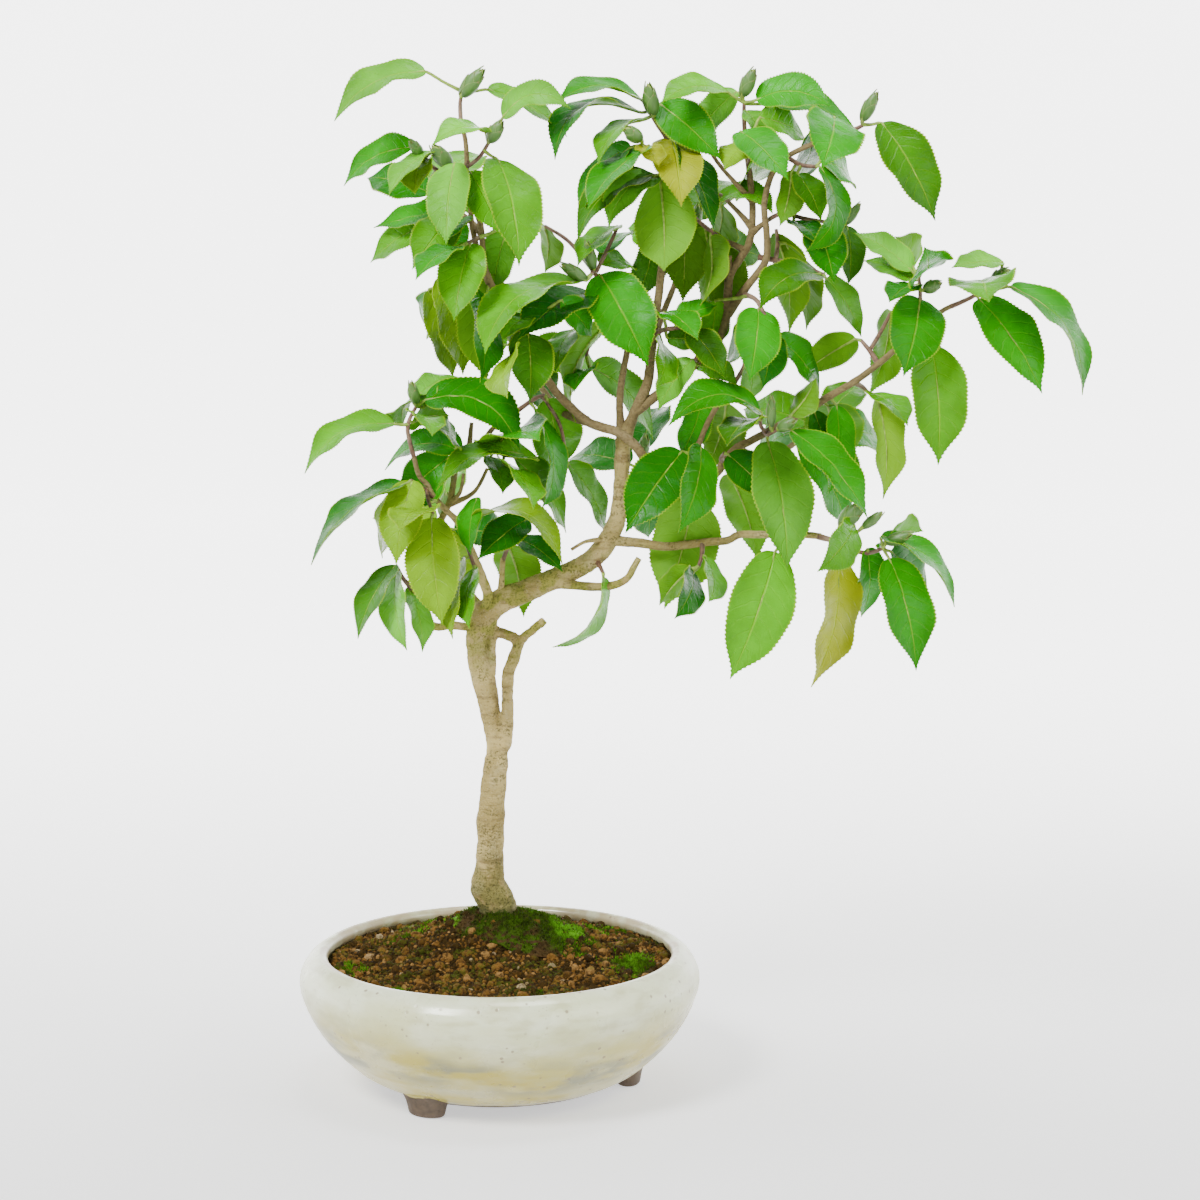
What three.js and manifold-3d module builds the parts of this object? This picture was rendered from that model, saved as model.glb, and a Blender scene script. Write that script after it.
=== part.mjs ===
// Japanese camellia bonsai: a slim, crooked trunk with an airy crown of broad glossy leaves,
// growing from a mound of soil and moss in a round glazed bowl on three small feet.
// Millimetres, +Z up. The origin is the middle of the ground right under the whole tree.

import * as THREE from "three";
import { mergeVertices } from "three/addons/utils/BufferGeometryUtils.js";
import Module from "manifold-3d";

// Driving dimensions of the bowl.
const POT_HEIGHT = 82;
const POT_BELLY_RADIUS = 120;
const POT_OPENING_RADIUS = 103;
const DRAIN_RADIUS = 9;
const POT_SIDES = 32;
const FOOT_CIRCLE = 77;
const FOOT_WIDTH = 24;
const FOOT_DEPTH = 15;
const FOOT_ANGLES = [-122, -2, 118];

// Driving dimensions of the soil, the moss and the joints between pieces.
const CLEARANCE = 0.3;
const SOIL_EDGE_HEIGHT = 75;
const SOIL_EDGE_RADIUS = 104;
const MOUND_HEIGHT = 21;
const MOUND_RADIUS = 52;
const TRUNK_FOOT = { x: -2.5, y: 30 };

// Driving dimensions of the leaves and buds.
const LEAF_THICKNESS = 0.8;
const LEAF_SLENDERNESS = 0.5;
const LEAF_WIDTH_MIN = 20;
const LEAF_WIDTH_MAX = 40;
const LEAF_ARCH = 0.09;
const LEAF_FOLD = 0.17;
const EDGE_WAVE = 0.05;
const STALK_RADIUS = 1.1;
const SHORT_STALK = 6;
const BROAD_LEAF = 1300;
const PLAIN_LEAF_WIDENING = 1.1;

// Rings along thin wood stand this far apart.
const RING_SPACING = 19;

// Room kept between a blade and what it could touch, and the swings tried to find it.
const BLADE_ROOM = 3.6;
const SAMPLE_REACH = 3.2;
const SWING_STEP = 8;
const SWINGS = [0, -1, 1, -2, 2, -3, 3, -4, 4, -5, 5];

// The tree is laid out as it is seen from the front: each point is given as its place across,
// its height, and how far it lies behind the upright plane through the middle of the bowl.
// The eye stands in front of that plane, so points are carried along its lines of sight.
const EYE_ACROSS = 60;
const EYE_DISTANCE = 1750;
const EYE_HEIGHT = 550;

// Trunk and branches from root to tip: across, height, behind, radius.
const WOOD = {
  "trunk": [
    [-2, 66, 31, 10], [-1.6, 86, 31, 14], [-1.6, 100, 30, 12.3], [-1.6, 110, 29, 11.3],
    [-7, 120, 28, 11], [-6.2, 130, 27, 8.9], [-5.8, 140, 26, 8.4], [-5.2, 150, 25, 8.2],
    [-5.3, 160, 24, 8.6], [-4.5, 170, 23, 8], [-3.5, 180, 22, 7.9], [-2.5, 190, 21, 7.5],
    [-1.5, 197, 20, 7.3], [-1, 202, 20, 6.4], [-1.5, 210, 19, 6.2], [-4.2, 220, 18, 5.6],
    [-5.8, 230, 17, 6.3], [-7.4, 240, 16, 6.9], [-10, 250, 15, 7.3], [-12.3, 260, 14, 6.6],
    [-12.8, 270, 13, 6.7], [-10, 280, 12, 8.2], [-5, 289, 12, 7.4],
  ],
  "bough": [
    [-10, 278, 12, 6], [-6, 286, 12, 7.6], [2, 293, 11, 7.4], [15, 298, 9, 7], [30, 304.5, 7, 6.3],
    [45, 311, 5, 6], [57, 319, 4, 6], [66, 331, 3, 5.8], [71, 345, 3, 5], [72.5, 360, 3, 4.7],
    [73, 380, 4, 4.5], [74, 393, 4, 4.2],
  ],
  "second_stem": [
    [-1, 199, 20, 3.5], [3, 205, 18, 4], [5, 222, 14, 4], [5.3, 240, 12, 3.6], [6, 250, 12, 3.8],
    [9, 258, 11, 3.5], [11.5, 265, 11, 3.3], [13, 270, 11, 3.3],
  ],
  "second_stem_arm": [
    [12, 268, 11, 3.3], [7, 272, 11, 3.3], [1, 273, 12, 3.5], [-2, 275, 13, 3.2], [-9, 277, 13, 3],
  ],
  "cut_stub": [[12, 268, 11, 3], [20, 275, 10, 2.6], [27, 281, 9, 2.3]],
  "strip": [
    [-8, 244, 14, 2.4], [-4, 250, 11, 2.4], [-3.5, 262, 10, 2.4], [-3, 275, 10, 2.4], [-4, 286, 11, 2.4],
  ],
  "grey_stem": [
    [73, 386, 4, 3], [71.8, 400, 5, 2.4], [71.5, 410, 6, 2.2], [72.3, 420, 8, 2.1], [74, 430, 10, 2],
    [76, 442, 11, 1.9], [75, 455, 12, 1.8], [70, 465, 12, 1.7], [62, 478, 12, 1.6],
  ],
  "centre_stem": [
    [74, 388, 4, 3.8], [78.5, 400, 3, 3.3], [84, 412, 2, 3.2], [88, 422, 2, 3], [89.5, 435, 3, 2.7],
    [92, 455, 5, 2.5], [95, 480, 7, 2.4], [97, 505, 8, 2.2], [98.5, 535, 9, 2.1], [98.7, 549, 9, 2],
  ],
  "right_fork": [
    [81, 405, 3, 2.8], [92, 413, 3, 2.9], [101, 420, 5, 2.7], [112, 429, 7, 2.6], [122, 437, 9, 2.6],
    [131, 450, 10, 2.5], [134.5, 465, 11, 2.5], [135, 482, 12, 2.4], [141, 493, 12, 2.3],
    [146, 501, 12, 2.2], [148, 512, 12, 2.1], [148, 527, 12, 2], [146, 545, 12, 1.8], [144, 560, 12, 1.6],
  ],
  "right_fork_stub": [[134, 464, 11, 2.2], [134.8, 495, 12, 1.8]],
  "right_fork_twig_low": [[144, 498, 12, 1.8], [136, 502, 17, 1.5], [128, 505, 20, 1.3]],
  "right_fork_twig_mid": [[148, 511, 12, 1.8], [141, 519, 16, 1.5], [134, 526, 18, 1.3]],
  "right_fork_twig_out": [[148, 508, 12, 1.8], [154, 513, 9, 1.5], [160, 517, 6, 1.3]],
  "right_fork_twig_high": [
    [147.5, 527, 12, 1.7], [137, 538, 8, 1.4], [129, 547, 4, 1.2], [122, 557, 1, 1.1],
  ],
  "second_upright": [
    [134, 461, 11, 2.4], [146, 478, 8, 2.3], [156, 492, 5, 2.2], [156.5, 508, 3, 2], [155, 525, 2, 1.9],
    [160, 543, 0, 1.8], [170, 553, -2, 1.6], [190, 562, -6, 1.4],
  ],
  "cross_branch": [
    [72, 350, 3, 3.4], [80, 356, -2, 3.2], [86, 362, -6, 3.1], [88, 372, -9, 3], [84, 380, -10, 3],
    [78, 387, -10, 2.9], [70, 392.5, -9, 2.8], [60, 395.5, -8, 2.8], [52, 399, -8, 2.7],
    [44, 406, -9, 2.6], [36, 414, -10, 2.5], [28, 425, -11, 2.4], [18, 442, -12, 2.2],
    [6, 462, -12, 2.1], [-4, 480, -12, 2], [-7.5, 492, -12, 1.9], [-9, 512, -12, 1.8],
    [-13, 523, -12, 1.6], [-18, 534, -12, 1.6], [-17, 548, -12, 1.5], [-17.5, 560, -12, 1.4],
    [-20, 572, -12, 1.3],
  ],
  "parallel_stem": [
    [-4, 479, -12, 1.9], [-11, 498, -7, 1.8], [-14.5, 515, -4, 1.7], [-16, 530, -2, 1.5],
    [-28, 540, 0, 1.4],
  ],
  "left_twig": [
    [-8, 284, 12, 3.2], [-6, 295, 5, 3.1], [-9, 305, 1, 2.9], [-14, 318, -3, 2.6], [-19, 330, -7, 2.3],
    [-24, 340, -10, 2], [-31, 347, -12, 1.8], [-38, 355, -14, 1.7], [-41, 361, -15, 1.6],
    [-46, 367, -17, 1.5], [-49, 378, -19, 1.4],
  ],
  "low_left": [
    [-10, 276, 13, 3], [-18, 277, 8, 2.6], [-28, 278, 4, 2.5], [-36, 277, 2, 2.4], [-42, 280, 0, 2.3],
    [-48, 286, -1, 2.2], [-50, 300, -2, 2.1], [-45, 325, 0, 2], [-34, 340, 4, 2], [-28, 352, 6, 2],
    [-26, 362, 7, 1.9], [-24, 372, 8, 1.8], [-16, 383, 9, 1.7], [-8, 388, 9, 1.6], [-2, 395, 9, 1.5],
    [13, 406, 10, 1.4],
  ],
  "low_left_fork": [[-17, 379, 8.6, 1.5], [-15, 398, 12, 1.2]],
  "low_left_spur": [[-28, 351, 6, 1.5], [-22, 357, 3, 1.2], [-20, 368, 1, 1]],
  "low_left_inner": [[-28, 350, 6, 1.6], [-14, 357, 12, 1.3], [-6, 371, 16, 1.1]],
  "bough_spur": [[1, 291, 11, 2.2], [2, 305, 9, 1.8], [3, 318, 8, 1.5]],
  "low_short": [
    [33, 304, 7, 3.2], [45, 302, 0, 2.8], [58, 301, -4, 2.6], [68, 302, -6, 2.4], [76, 306, -8, 2.2],
    [80, 313, -9, 2], [83, 318, -9, 1.8],
  ],
  "dead_twig": [[64, 329, 3, 1.6], [52, 328, -7, 1.1], [43, 323, -9, 1]],
  "low_right": [
    [65, 329, 3, 3.3], [72, 328, 2, 3.2], [84, 327, 0, 2.9], [100, 325, -2, 2.6], [122, 327.5, -6, 2.4],
    [135, 328.5, -8, 2.3], [142, 332, -9, 2.3], [155, 332, -10, 2.2], [177, 332, -12, 2],
    [190, 331, -13, 1.9],
  ],
  "mid_right": [
    [71, 347, 3, 3.3], [90, 350, 5, 2.9], [110, 357, 8, 2.7], [128, 368, 9, 2.5], [133, 376, 9, 2.5],
    [140, 383, 8, 2.4], [148, 387, 7, 2.4], [157, 392, 5, 2.3], [175, 402, 2, 2.2], [195, 414, -1, 2.2],
    [210, 423, -4, 2.1], [228, 437, -6, 1.8], [245, 453, -8, 1.6], [259, 463, -9, 1.5],
    [265, 466, -10, 1.4],
  ],
  "mid_right_spur": [[244, 452, -8, 1.5], [246, 460, -12, 1.4]],
  "mid_right_twig": [[110, 356, 8, 2], [116, 380, 4, 1.8], [125, 402, -1, 1.7], [136, 417, -6, 1.5]],
  "back_low": [[-6, 284, 13, 3], [-16, 296, 34, 2.4], [-26, 316, 56, 2], [-30, 332, 72, 1.6]],
  "back_bough": [[58, 320, 5, 3.2], [66, 332, 28, 2.6], [74, 350, 48, 2.1], [80, 366, 64, 1.7]],
  "back_middle": [[52, 399, -7, 2.4], [38, 404, 18, 2.1], [26, 418, 42, 1.8], [14, 436, 60, 1.5]],
  "back_centre": [[91, 446, 4, 2.3], [96, 460, 28, 2], [104, 480, 50, 1.7], [110, 498, 62, 1.5]],
  "back_right": [[140, 383, 8, 2.3], [152, 378, 32, 2], [168, 382, 54, 1.7], [182, 392, 68, 1.5]],
  "back_high": [[-9, 508, -11, 1.8], [-14, 514, 12, 1.6], [-24, 522, 34, 1.4], [-30, 526, 46, 1.3]],
};

// Sprays. Twigs are routes like the wood's. A leaf is given by its blade's foot and tip (across,
// height), how far its tip lies behind its foot, the width seen from the front, its look and, for
// an arched blade, a point halfway along it. The look's first letter is the tone (Dark, Middle,
// Light, Pale, Olive, Yellow), its second the side seen (Top, Under). A bud: foot, tip, width.
const SPRAYS = {
  "spray_left_crown": {
    "twigs": [[[-20, 570, -12, 1.4], [-20.5, 582, -12, 1.2], [-19, 589, -12, 1]]],
    "leaves": [
      [-40, 600, -93, 572, -10, 14, "PT", -62, 604], [-5, 590, 41, 563, 12, 10, "LT"],
    ],
    "buds": [[-20, 586, -6, 603, 10]],
  },
  "spray_left_inner": {
    "twigs": [
      [[-17.5, 540, -12, 1.6], [-18, 545, -19, 1.3], [-16, 549, -26, 1.1]],
      [[-18, 545, -19, 1.3], [-10, 551, -18, 1.2], [-4, 560, -17, 1.1]],
    ],
    "leaves": [
      [4, 574, 43, 579, -18, 14, "PT", 23, 592], [-6, 566, -37, 558, -30, 10, "PT", -14, 573],
      [-24, 548, -29, 501, -22, 24, "PT"], [-15, 543, 3, 506, -34, 24, "PT"],
      [-3, 550, 9, 488, -8, 22, "MT"],
    ],
    "buds": [[-4, 560, 4, 573, 9]],
  },
  "spray_left_tip": {
    "twigs": [[[-26, 539, 0, 1.5], [-40, 548, 4, 1.3], [-44, 552, 5, 1.1]]],
    "leaves": [
      [-46, 554, -84, 532, 14, 14, "MT", -66, 553], [-37, 555, -62, 530, -28, 10, "DT"],
      [-43, 550, -47, 530, -38, 17, "LT"],
    ],
    "buds": [[-26, 546, -38, 559, 10], [-43, 552, -50, 562, 7]],
  },
  "spray_left_high": {
    "twigs": [[[-14.5, 514, -5, 1.6], [-22, 518, 0, 1.3], [-34, 515, 4, 1.1]]],
    "leaves": [
      [-20, 520, -71, 511, 12, 14, "LT", -45, 523], [-35, 515, -73, 491, 16, 16, "MT"],
      [-27, 515, -49, 487, -34, 24, "MT"],
    ],
    "buds": [],
  },
  "spray_left_middle": {
    "twigs": [[[-8.5, 506, -12, 1.6], [-13, 504, -20, 1.3], [-17, 502, -26, 1.1]]],
    "leaves": [
      [-15, 502, -25, 457, -24, 26, "LT"], [-22, 500, -47, 481, -34, 12, "DT"],
    ],
    "buds": [],
  },
  "spray_left_low": {
    "twigs": [[[-5, 483, -12, 1.7], [-12, 484, -4, 1.4], [-26, 482, 6, 1.3], [-34, 478, 14, 1.1]]],
    "leaves": [
      [-33, 483, -20, 426, 10, 24, "YT"],
      [-4, 484, -6, 421, 22, 30, "OU"], [-12, 476, -10, 421, -30, 18, "YT"],
    ],
    "buds": [],
  },
  "spray_centre_left": {
    "twigs": [
      [[63, 476, 12, 1.6], [58, 483, 8, 1.4], [56, 486, 0, 1.3], [55, 484, -10, 1.1]],
      [[57, 484, 7, 1.3], [64, 498, 14, 1.2], [70, 511, 16, 1]],
      [[56, 486, 2, 1.3], [42, 503, 20, 1.2], [28, 512, 26, 1]],
    ],
    "leaves": [
      [47, 480, -7, 438, -20, 18, "LT", 20, 485], [54, 474, 12, 446, -30, 24, "DT"],
      [60, 484, 88, 431, -26, 36, "PT"], [70, 512, 47, 489, -32, 12, "LT"],

      [28, 512, 28, 485, 30, 14, "OU"],
    ],
    "buds": [[56, 487, 52, 504, 8], [52, 481, 36, 491, 8]],
  },
  "spray_cross_low": {
    "twigs": [
      [[18.5, 441, -12, 1.6], [18, 450, -18, 1.3], [17, 457, -22, 1.1]],
      [[18.5, 448, -16, 1.3], [13, 447, -23, 1.1], [11, 442, -28, 1]],
    ],
    "leaves": [
      [18, 450, 19, 410, -30, 26, "OT"],
      [10, 439, 6, 412, -40, 14, "YT"],
    ],
    "buds": [],
  },
  "spray_grey_stem": {
    "twigs": [[[75, 452, 12, 1.6], [66, 458, 15, 1.3], [56, 450, 20, 1.2], [52, 436, 22, 1]]],
    "leaves": [
      [44, 452, 34, 427, -44, 16, "LT"], [64, 456, 46, 398, -8, 12, "YU", 40, 427],
      [55, 430, 91, 388, 22, 18, "LT", 75, 426],
    ],
    "buds": [],
  },
  "spray_left_arm": {
    "twigs": [[[-48.5, 376, -18.5, 1.5], [-52, 390, -21, 1.3], [-52, 398, -22, 1.2], [-47, 408, -22, 1]]],
    "leaves": [
      [-42, 411, 13, 382, -14, 24, "DT", -15, 423],

      [-47, 402, -38, 390, -42, 13, "DT"],
      [-60, 397, -113, 368, -8, 13, "MT", -85, 401],
    ],
    "buds": [[-47, 409, -51, 423, 7]],
  },
  "spray_left_side": {
    "twigs": [
      [[-38, 354.5, -14, 1.7], [-46, 361, -19, 1.3], [-51, 364, -23, 1.1]],
      [[-42, 358, -17, 1.3], [-40, 350, -23, 1.2], [-38, 344, -26, 1]],
    ],
    "leaves": [
      [-54, 361, -110, 313, -12, 12, "DT"], [-50, 364, -60, 314, -20, 24, "OT"],
      [-39, 342, -33, 278, -14, 31, "YT"],
      [-42, 346, -58, 334, -44, 15, "LT"],
    ],
    "buds": [],
  },
  "spray_left_bottom": {
    "twigs": [[[-50, 299, -2, 1.8], [-56, 306, -6, 1.4], [-59, 312, -8, 1.2]]],
    "leaves": [
      [-60, 314, -83, 270, -20, 14, "MT"], [-60, 310, -54, 263, -22, 15, "PT"],
      [-53, 300, -45, 262, 22, 13, "LT"],
    ],
    "buds": [],
  },
  "spray_trunk_side": {
    "twigs": [
      [[-19.5, 331, -7, 1.7], [-19, 338, -14, 1.4], [-14, 349, -18, 1.1]],
      [[-19, 337, -13, 1.4], [-18, 326, -17, 1.3], [-14, 313, -19, 1.1]],
    ],
    "leaves": [
      [-14, 342, 38, 314, -22, 12, "YT", 2, 357], [-12, 354, -16, 320, -34, 13, "OT"],
      [-14, 312, -17, 276, -26, 13, "MT"], [-21, 318, -27, 270, 14, 14, "LT"],
    ],
    "buds": [],
  },
  "spray_bough_spur": {
    "twigs": [[[3, 317, 8, 1.5], [7, 328, 6, 1.3], [10, 335, 2, 1]]],
    "leaves": [
      [11, 330, 38, 310, -18, 14, "DT"], [6, 326, 15, 283, 30, 26, "LU"],
      [17, 341, -12, 317, -28, 20, "DT"],
    ],
    "buds": [],
  },
  "spray_low_left_bend": {
    "twigs": [[[-24, 371, 8, 1.8], [-25, 377, 0, 1.4], [-24, 381, -7, 1.1]]],
    "leaves": [
      [-22, 381, -66, 370, 22, 12, "DT", -41, 391], [-28, 378, -58, 352, -26, 24, "LT"],

    ],
    "buds": [],
  },
  "spray_low_left_top": {
    "twigs": [
      [[-8, 388, 9, 1.6], [-3, 383, 2, 1.4], [4, 379, -4, 1.3], [14, 378, -10, 1.2], [22, 377, -14, 1]],
    ],
    "leaves": [
      [24, 376, -36, 358, -14, 12, "LT", -5, 386],
      [3, 375, 21, 347, -34, 12, "MT"], [-4, 378, 3, 356, -50, 14, "MT"],
      [10, 377, 40, 333, 14, 15, "PT"],
    ],
    "buds": [],
  },
  "spray_low_left_tip": {
    "twigs": [
      [[12, 405, 10, 1.5], [22, 412, 9, 1.3], [28, 414, 8, 1.1]],
      [[26, 413.5, 8, 1.2], [36, 398, 15, 1.1], [40, 380, 20, 1]],
    ],
    "leaves": [
      [29, 412, 37, 372, 28, 30, "LT"], [22, 406, 26, 348, -12, 11, "DT", 36, 374],
      [41, 374, 63, 331, 12, 13, "LT"],
    ],
    "buds": [],
  },
  "spray_under_bough": {
    "twigs": [[[58, 317, 3, 1.8], [60, 313, -5, 1.4], [62, 309, -10, 1.1]]],
    "leaves": [[62, 307, 32, 265, -8, 10, "PT", 61, 283]],
    "buds": [],
  },
  "spray_crown_centre": {
    "twigs": [
      [[98.7, 547, 9, 1.9], [99, 560, 9, 1.5], [93, 570, 6, 1.3], [88, 578, 4, 1.1]],
      [[99, 558, 9, 1.5], [99, 568, 13, 1.3], [96, 578, 15, 1.1]],
    ],
    "leaves": [
      [84, 584, 34, 582, -20, 11, "PT", 56, 597], [82, 576, 35, 552, -12, 12, "DT", 58, 579],
      [85, 573, 60, 546, -30, 13, "DT"], [97, 579, 128, 550, -14, 24, "PT"],
      [103, 563, 127, 507, -40, 20, "PT"], [103, 558, 107, 525, -42, 22, "YT"],
      [99, 560, 92, 536, 44, 14, "LU"],
    ],
    "buds": [[91, 575, 87, 595, 10]],
  },
  "spray_crown_side": {
    "twigs": [[[98.6, 543, 9, 1.9], [93, 551, -3, 1.4], [84, 559, -17, 1.1]]],
    "leaves": [
      [80, 561, 54, 522, -20, 13, "PT"],
    ],
    "buds": [[84, 561, 73, 569, 9]],
  },
  "spray_crown_low": {
    "twigs": [[[98.4, 531, 9, 1.9], [97, 538, 0, 1.4], [95, 542, -8, 1.1]]],
    "leaves": [
      [92, 542, 64, 515, -22, 13, "PT", 77, 545], [95, 538, 97, 486, -30, 35, "PU"],
    ],
    "buds": [],
  },
  "spray_right_crown": {
    "twigs": [[[144.2, 557, 12, 1.6], [143, 573, 12, 1.3], [143, 583, 11, 1.1]]],
    "leaves": [
      [134, 588, 95, 582, -26, 12, "LT", 113, 596], [150, 584, 193, 580, -16, 20, "MT", 173, 596],

    ],
    "buds": [[142, 586, 149, 603, 9]],
  },
  "spray_right_upper": {
    "twigs": [[[145.7, 547, 12, 1.8], [148, 555, 4, 1.3], [146, 563, -3, 1.1]]],
    "leaves": [
      [141, 566, 169, 538, -34, 22, "PT"], [152, 574, 178, 562, 30, 14, "LT"],
      [143, 558, 132, 544, -48, 15, "YT"],
    ],
    "buds": [],
  },
  "spray_right_arm_tip": {
    "twigs": [[[188, 561.5, -6, 1.5], [206, 567, -8, 1.3], [212, 570, -9, 1.1]]],
    "leaves": [
      [218, 570, 250, 513, -14, 26, "OT"], [195, 574, 188, 545, -50, 34, "PT"],
      [182, 567, 166, 535, 26, 16, "DT"],
    ],
    "buds": [[211, 572, 220, 590, 8]],
  },
  "spray_right_inner": {
    "twigs": [[[135, 525.5, 18, 1.4], [129, 530, 18, 1.2], [125, 529, 17, 1]]],
    "leaves": [[128, 527, 160, 519, -6, 11, "MT", 143, 536], [130, 525, 124, 496, 16, 18, "OU"]],
    "buds": [],
  },
  "spray_right_arm": {
    "twigs": [[[168, 551.5, -2, 1.6], [176, 547, -9, 1.3], [185, 546, -12, 1.1]]],
    "leaves": [
      [187, 546, 179, 497, -14, 13, "LT", 201, 521], [174, 542, 188, 515, -38, 16, "OT"],
      [171, 544, 164, 512, 36, 16, "DU"],
    ],
    "buds": [],
  },
  "spray_right_spur": {
    "twigs": [[[158, 516, 7, 1.4], [166, 519, 6, 1.3], [180, 516, 8, 1.2], [200, 513, 9, 1]]],
    "leaves": [
      [186, 511, 196, 479, -34, 24, "DT"],
      [203, 512, 204, 478, -28, 15, "OT"],
    ],
    "buds": [[202, 513, 211, 526, 6]],
  },
  "spray_centre_back": {
    "twigs": [[[130, 504.5, 19, 1.5], [118, 514, 26, 1.3], [109, 522, 30, 1.1]]],
    "leaves": [
      [108, 520, 108, 468, 10, 26, "OU"], [121, 511, 122, 460, 24, 24, "OU"],
      [134, 500, 130, 458, 8, 24, "OU"],
    ],
    "buds": [],
  },
  "spray_centre_stem": {
    "twigs": [[[91.5, 450, 4.5, 1.9], [97, 452, -3, 1.5], [103, 453, -9, 1.3], [110, 454, -10, 1.1]]],
    "leaves": [
      [97, 462, 117, 446, -38, 14, "LT"], [104, 456, 128, 466, -36, 13, "LT"],
      [99, 447, 122, 444, 34, 15, "MT"], [113, 452, 133, 424, -20, 18, "OT"],
      [96, 445, 93, 418, -36, 14, "MT"],
    ],
    "buds": [],
  },
  "spray_right_middle": {
    "twigs": [
      [[152, 494, 6, 1.8], [168, 491, 10, 1.5], [182, 487, 9, 1.3], [190, 484, 6, 1.1]],
      [[162, 493, 7, 1.4], [163, 503, 18, 1.2], [162, 510, 22, 1.1]],
    ],
    "leaves": [
      [188, 484, 153, 464, -36, 20, "PT", 168, 490], [191, 482, 212, 448, -14, 14, "MT"],
      [162, 508, 170, 450, 10, 20, "OU"], [168, 502, 180, 452, 34, 16, "LU"],
    ],
    "buds": [],
  },
  "spray_right_front": {
    "twigs": [[[143, 473, 8.5, 1.8], [150, 470, 0, 1.4], [154, 464, -8, 1.3], [160, 451, -12, 1]]],
    "leaves": [
      [152, 464, 147, 422, -30, 27, "PT"], [160, 450, 155, 418, -32, 20, "DT"],
      [157, 456, 134, 432, 34, 14, "LT"],
    ],
    "buds": [],
  },
  "spray_fork_twig": {
    "twigs": [[[135, 415.5, -5.5, 1.6], [144, 431, -10, 1.3], [143, 438, -14, 1.1]]],
    "leaves": [
      [147, 436, 145, 408, 26, 14, "LT"], [134, 410, 122, 368, 38, 28, "OU"],
    ],
    "buds": [[143, 439, 141, 452, 7]],
  },
  "spray_fork_low": {
    "twigs": [[[113, 430, 7, 1.8], [115, 433, -1, 1.3], [116, 436, -7, 1.1]]],
    "leaves": [[114, 435, 94, 405, -32, 16, "LT"], ],
    "buds": [],
  },
  "spray_bough_front": {
    "twigs": [
      [[112.5, 367, 6, 1.8], [113, 376, -3, 1.5], [115, 384, -11, 1.2]],
      [[113, 373, 0, 1.5], [118, 364, -4, 1.3], [117, 357, -7, 1.1]],
    ],
    "leaves": [
      [108, 381, 75, 333, -26, 32, "DT"], [119, 384, 106, 333, -34, 22, "DT"],
      [115, 353, 98, 288, 36, 40, "PU"],
    ],
    "buds": [],
  },
  "spray_low_right_hang": {
    "twigs": [[[120, 327.5, -6, 1.8], [120, 320, -11, 1.3], [118, 313, -14, 1.1]]],
    "leaves": [
      [115, 310, 104, 282, -36, 16, "DT"], [122, 319, 124, 292, -20, 12, "PT", 131, 306],

    ],
    "buds": [],
  },
  "spray_right_bend": {
    "twigs": [
      [[157, 392, 5, 2], [158, 391, -4, 1.5], [160, 392, -12, 1.3], [168, 396, -15, 1.1]],
      [[158, 391, -5, 1.3], [154, 396, -12, 1.2], [154, 402, -19, 1]],
    ],
    "leaves": [
      [158, 387, 170, 311, -16, 34, "LT"], [172, 393, 217, 342, -20, 20, "LT"],
      [154, 404, 100, 396, -24, 16, "MT", 130, 420], [151, 400, 134, 384, -44, 14, "LT"],

    ],
    "buds": [[160, 395, 160, 415, 6], [164, 394, 175, 400, 8]],
  },
  "spray_right_hang": {
    "twigs": [[[196, 414.5, -1, 1.8], [192, 412, 7, 1.4], [189, 409, 10, 1.1]]],
    "leaves": [
      [193, 408, 200, 372, 36, 34, "OU"], [185, 405, 192, 366, -32, 16, "OT"],
      [198, 408, 194, 356, 6, 18, "LT"],
    ],
    "buds": [],
  },
  "spray_right_under": {
    "twigs": [[[132.5, 375, 9, 2], [131, 377, 1, 1.5], [133, 380, -5, 1.2]]],
    "leaves": [[135, 379, 160, 355, -38, 22, "DT"], [136, 368, 153, 316, 16, 26, "PU"]],
    "buds": [],
  },
  "spray_low_right_front": {
    "twigs": [[[165, 332, -11, 1.8], [167, 330, -18, 1.4], [167, 326, -22, 1.2]]],
    "leaves": [[166, 323, 140, 245, -24, 37, "YT"]],
    "buds": [],
  },
  "spray_low_right_tip": {
    "twigs": [
      [[188, 331, -13, 2], [197, 329, -15, 1.6], [205, 332, -18, 1.3], [212, 334, -20, 1.1]],
      [[195.5, 329.4, -14.6, 1.4], [206, 324, -12, 1.4], [217, 321, -8, 1.3], [227, 324, -11, 1.1]],
    ],
    "leaves": [
      [194, 321, 179, 239, -14, 22, "YT"], [209, 338, 188, 310, -36, 20, "LT"],
      [211, 322, 215, 276, 22, 16, "MT"], [230, 318, 247, 251, -12, 28, "LT"],
      [225, 331, 269, 289, -6, 10, "MT", 246, 330],
      [231, 322, 252, 290, 34, 15, "LT"],
    ],
    "buds": [[201, 337, 216, 352, 11], [214, 336, 227, 346, 6], [228, 327, 244, 333, 8]],
  },
  "spray_right_drop": {
    "twigs": [[[208, 421.5, -3.5, 1.8], [213, 419, 3, 1.4], [216, 416, 7, 1.1]]],
    "leaves": [[217, 413, 221, 353, 10, 18, "OU"], [219, 415, 240, 396, -40, 13, "MT"]],
    "buds": [],
  },
  "spray_right_rise": {
    "twigs": [
      [[222, 432.5, -5, 1.8], [217, 440, 2, 1.4], [212, 446, 7, 1.1]],
      [[217, 440, 2, 1.4], [224, 452, 10, 1.2], [229, 462, 14, 1]],
    ],
    "leaves": [
      [209, 447, 177, 426, 14, 20, "OU"], [229, 463, 217, 414, 18, 20, "LU"],
    ],
    "buds": [],
  },
  "spray_right_top": {
    "twigs": [[[246, 458, -11, 1.5], [246, 466, -15, 1.3], [246, 474, -18, 1.2], [245, 483, -18, 1]]],
    "leaves": [
      [246, 470, 237, 425, -28, 32, "LT"], [247, 486, 248, 500, -54, 22, "LT"],
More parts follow.
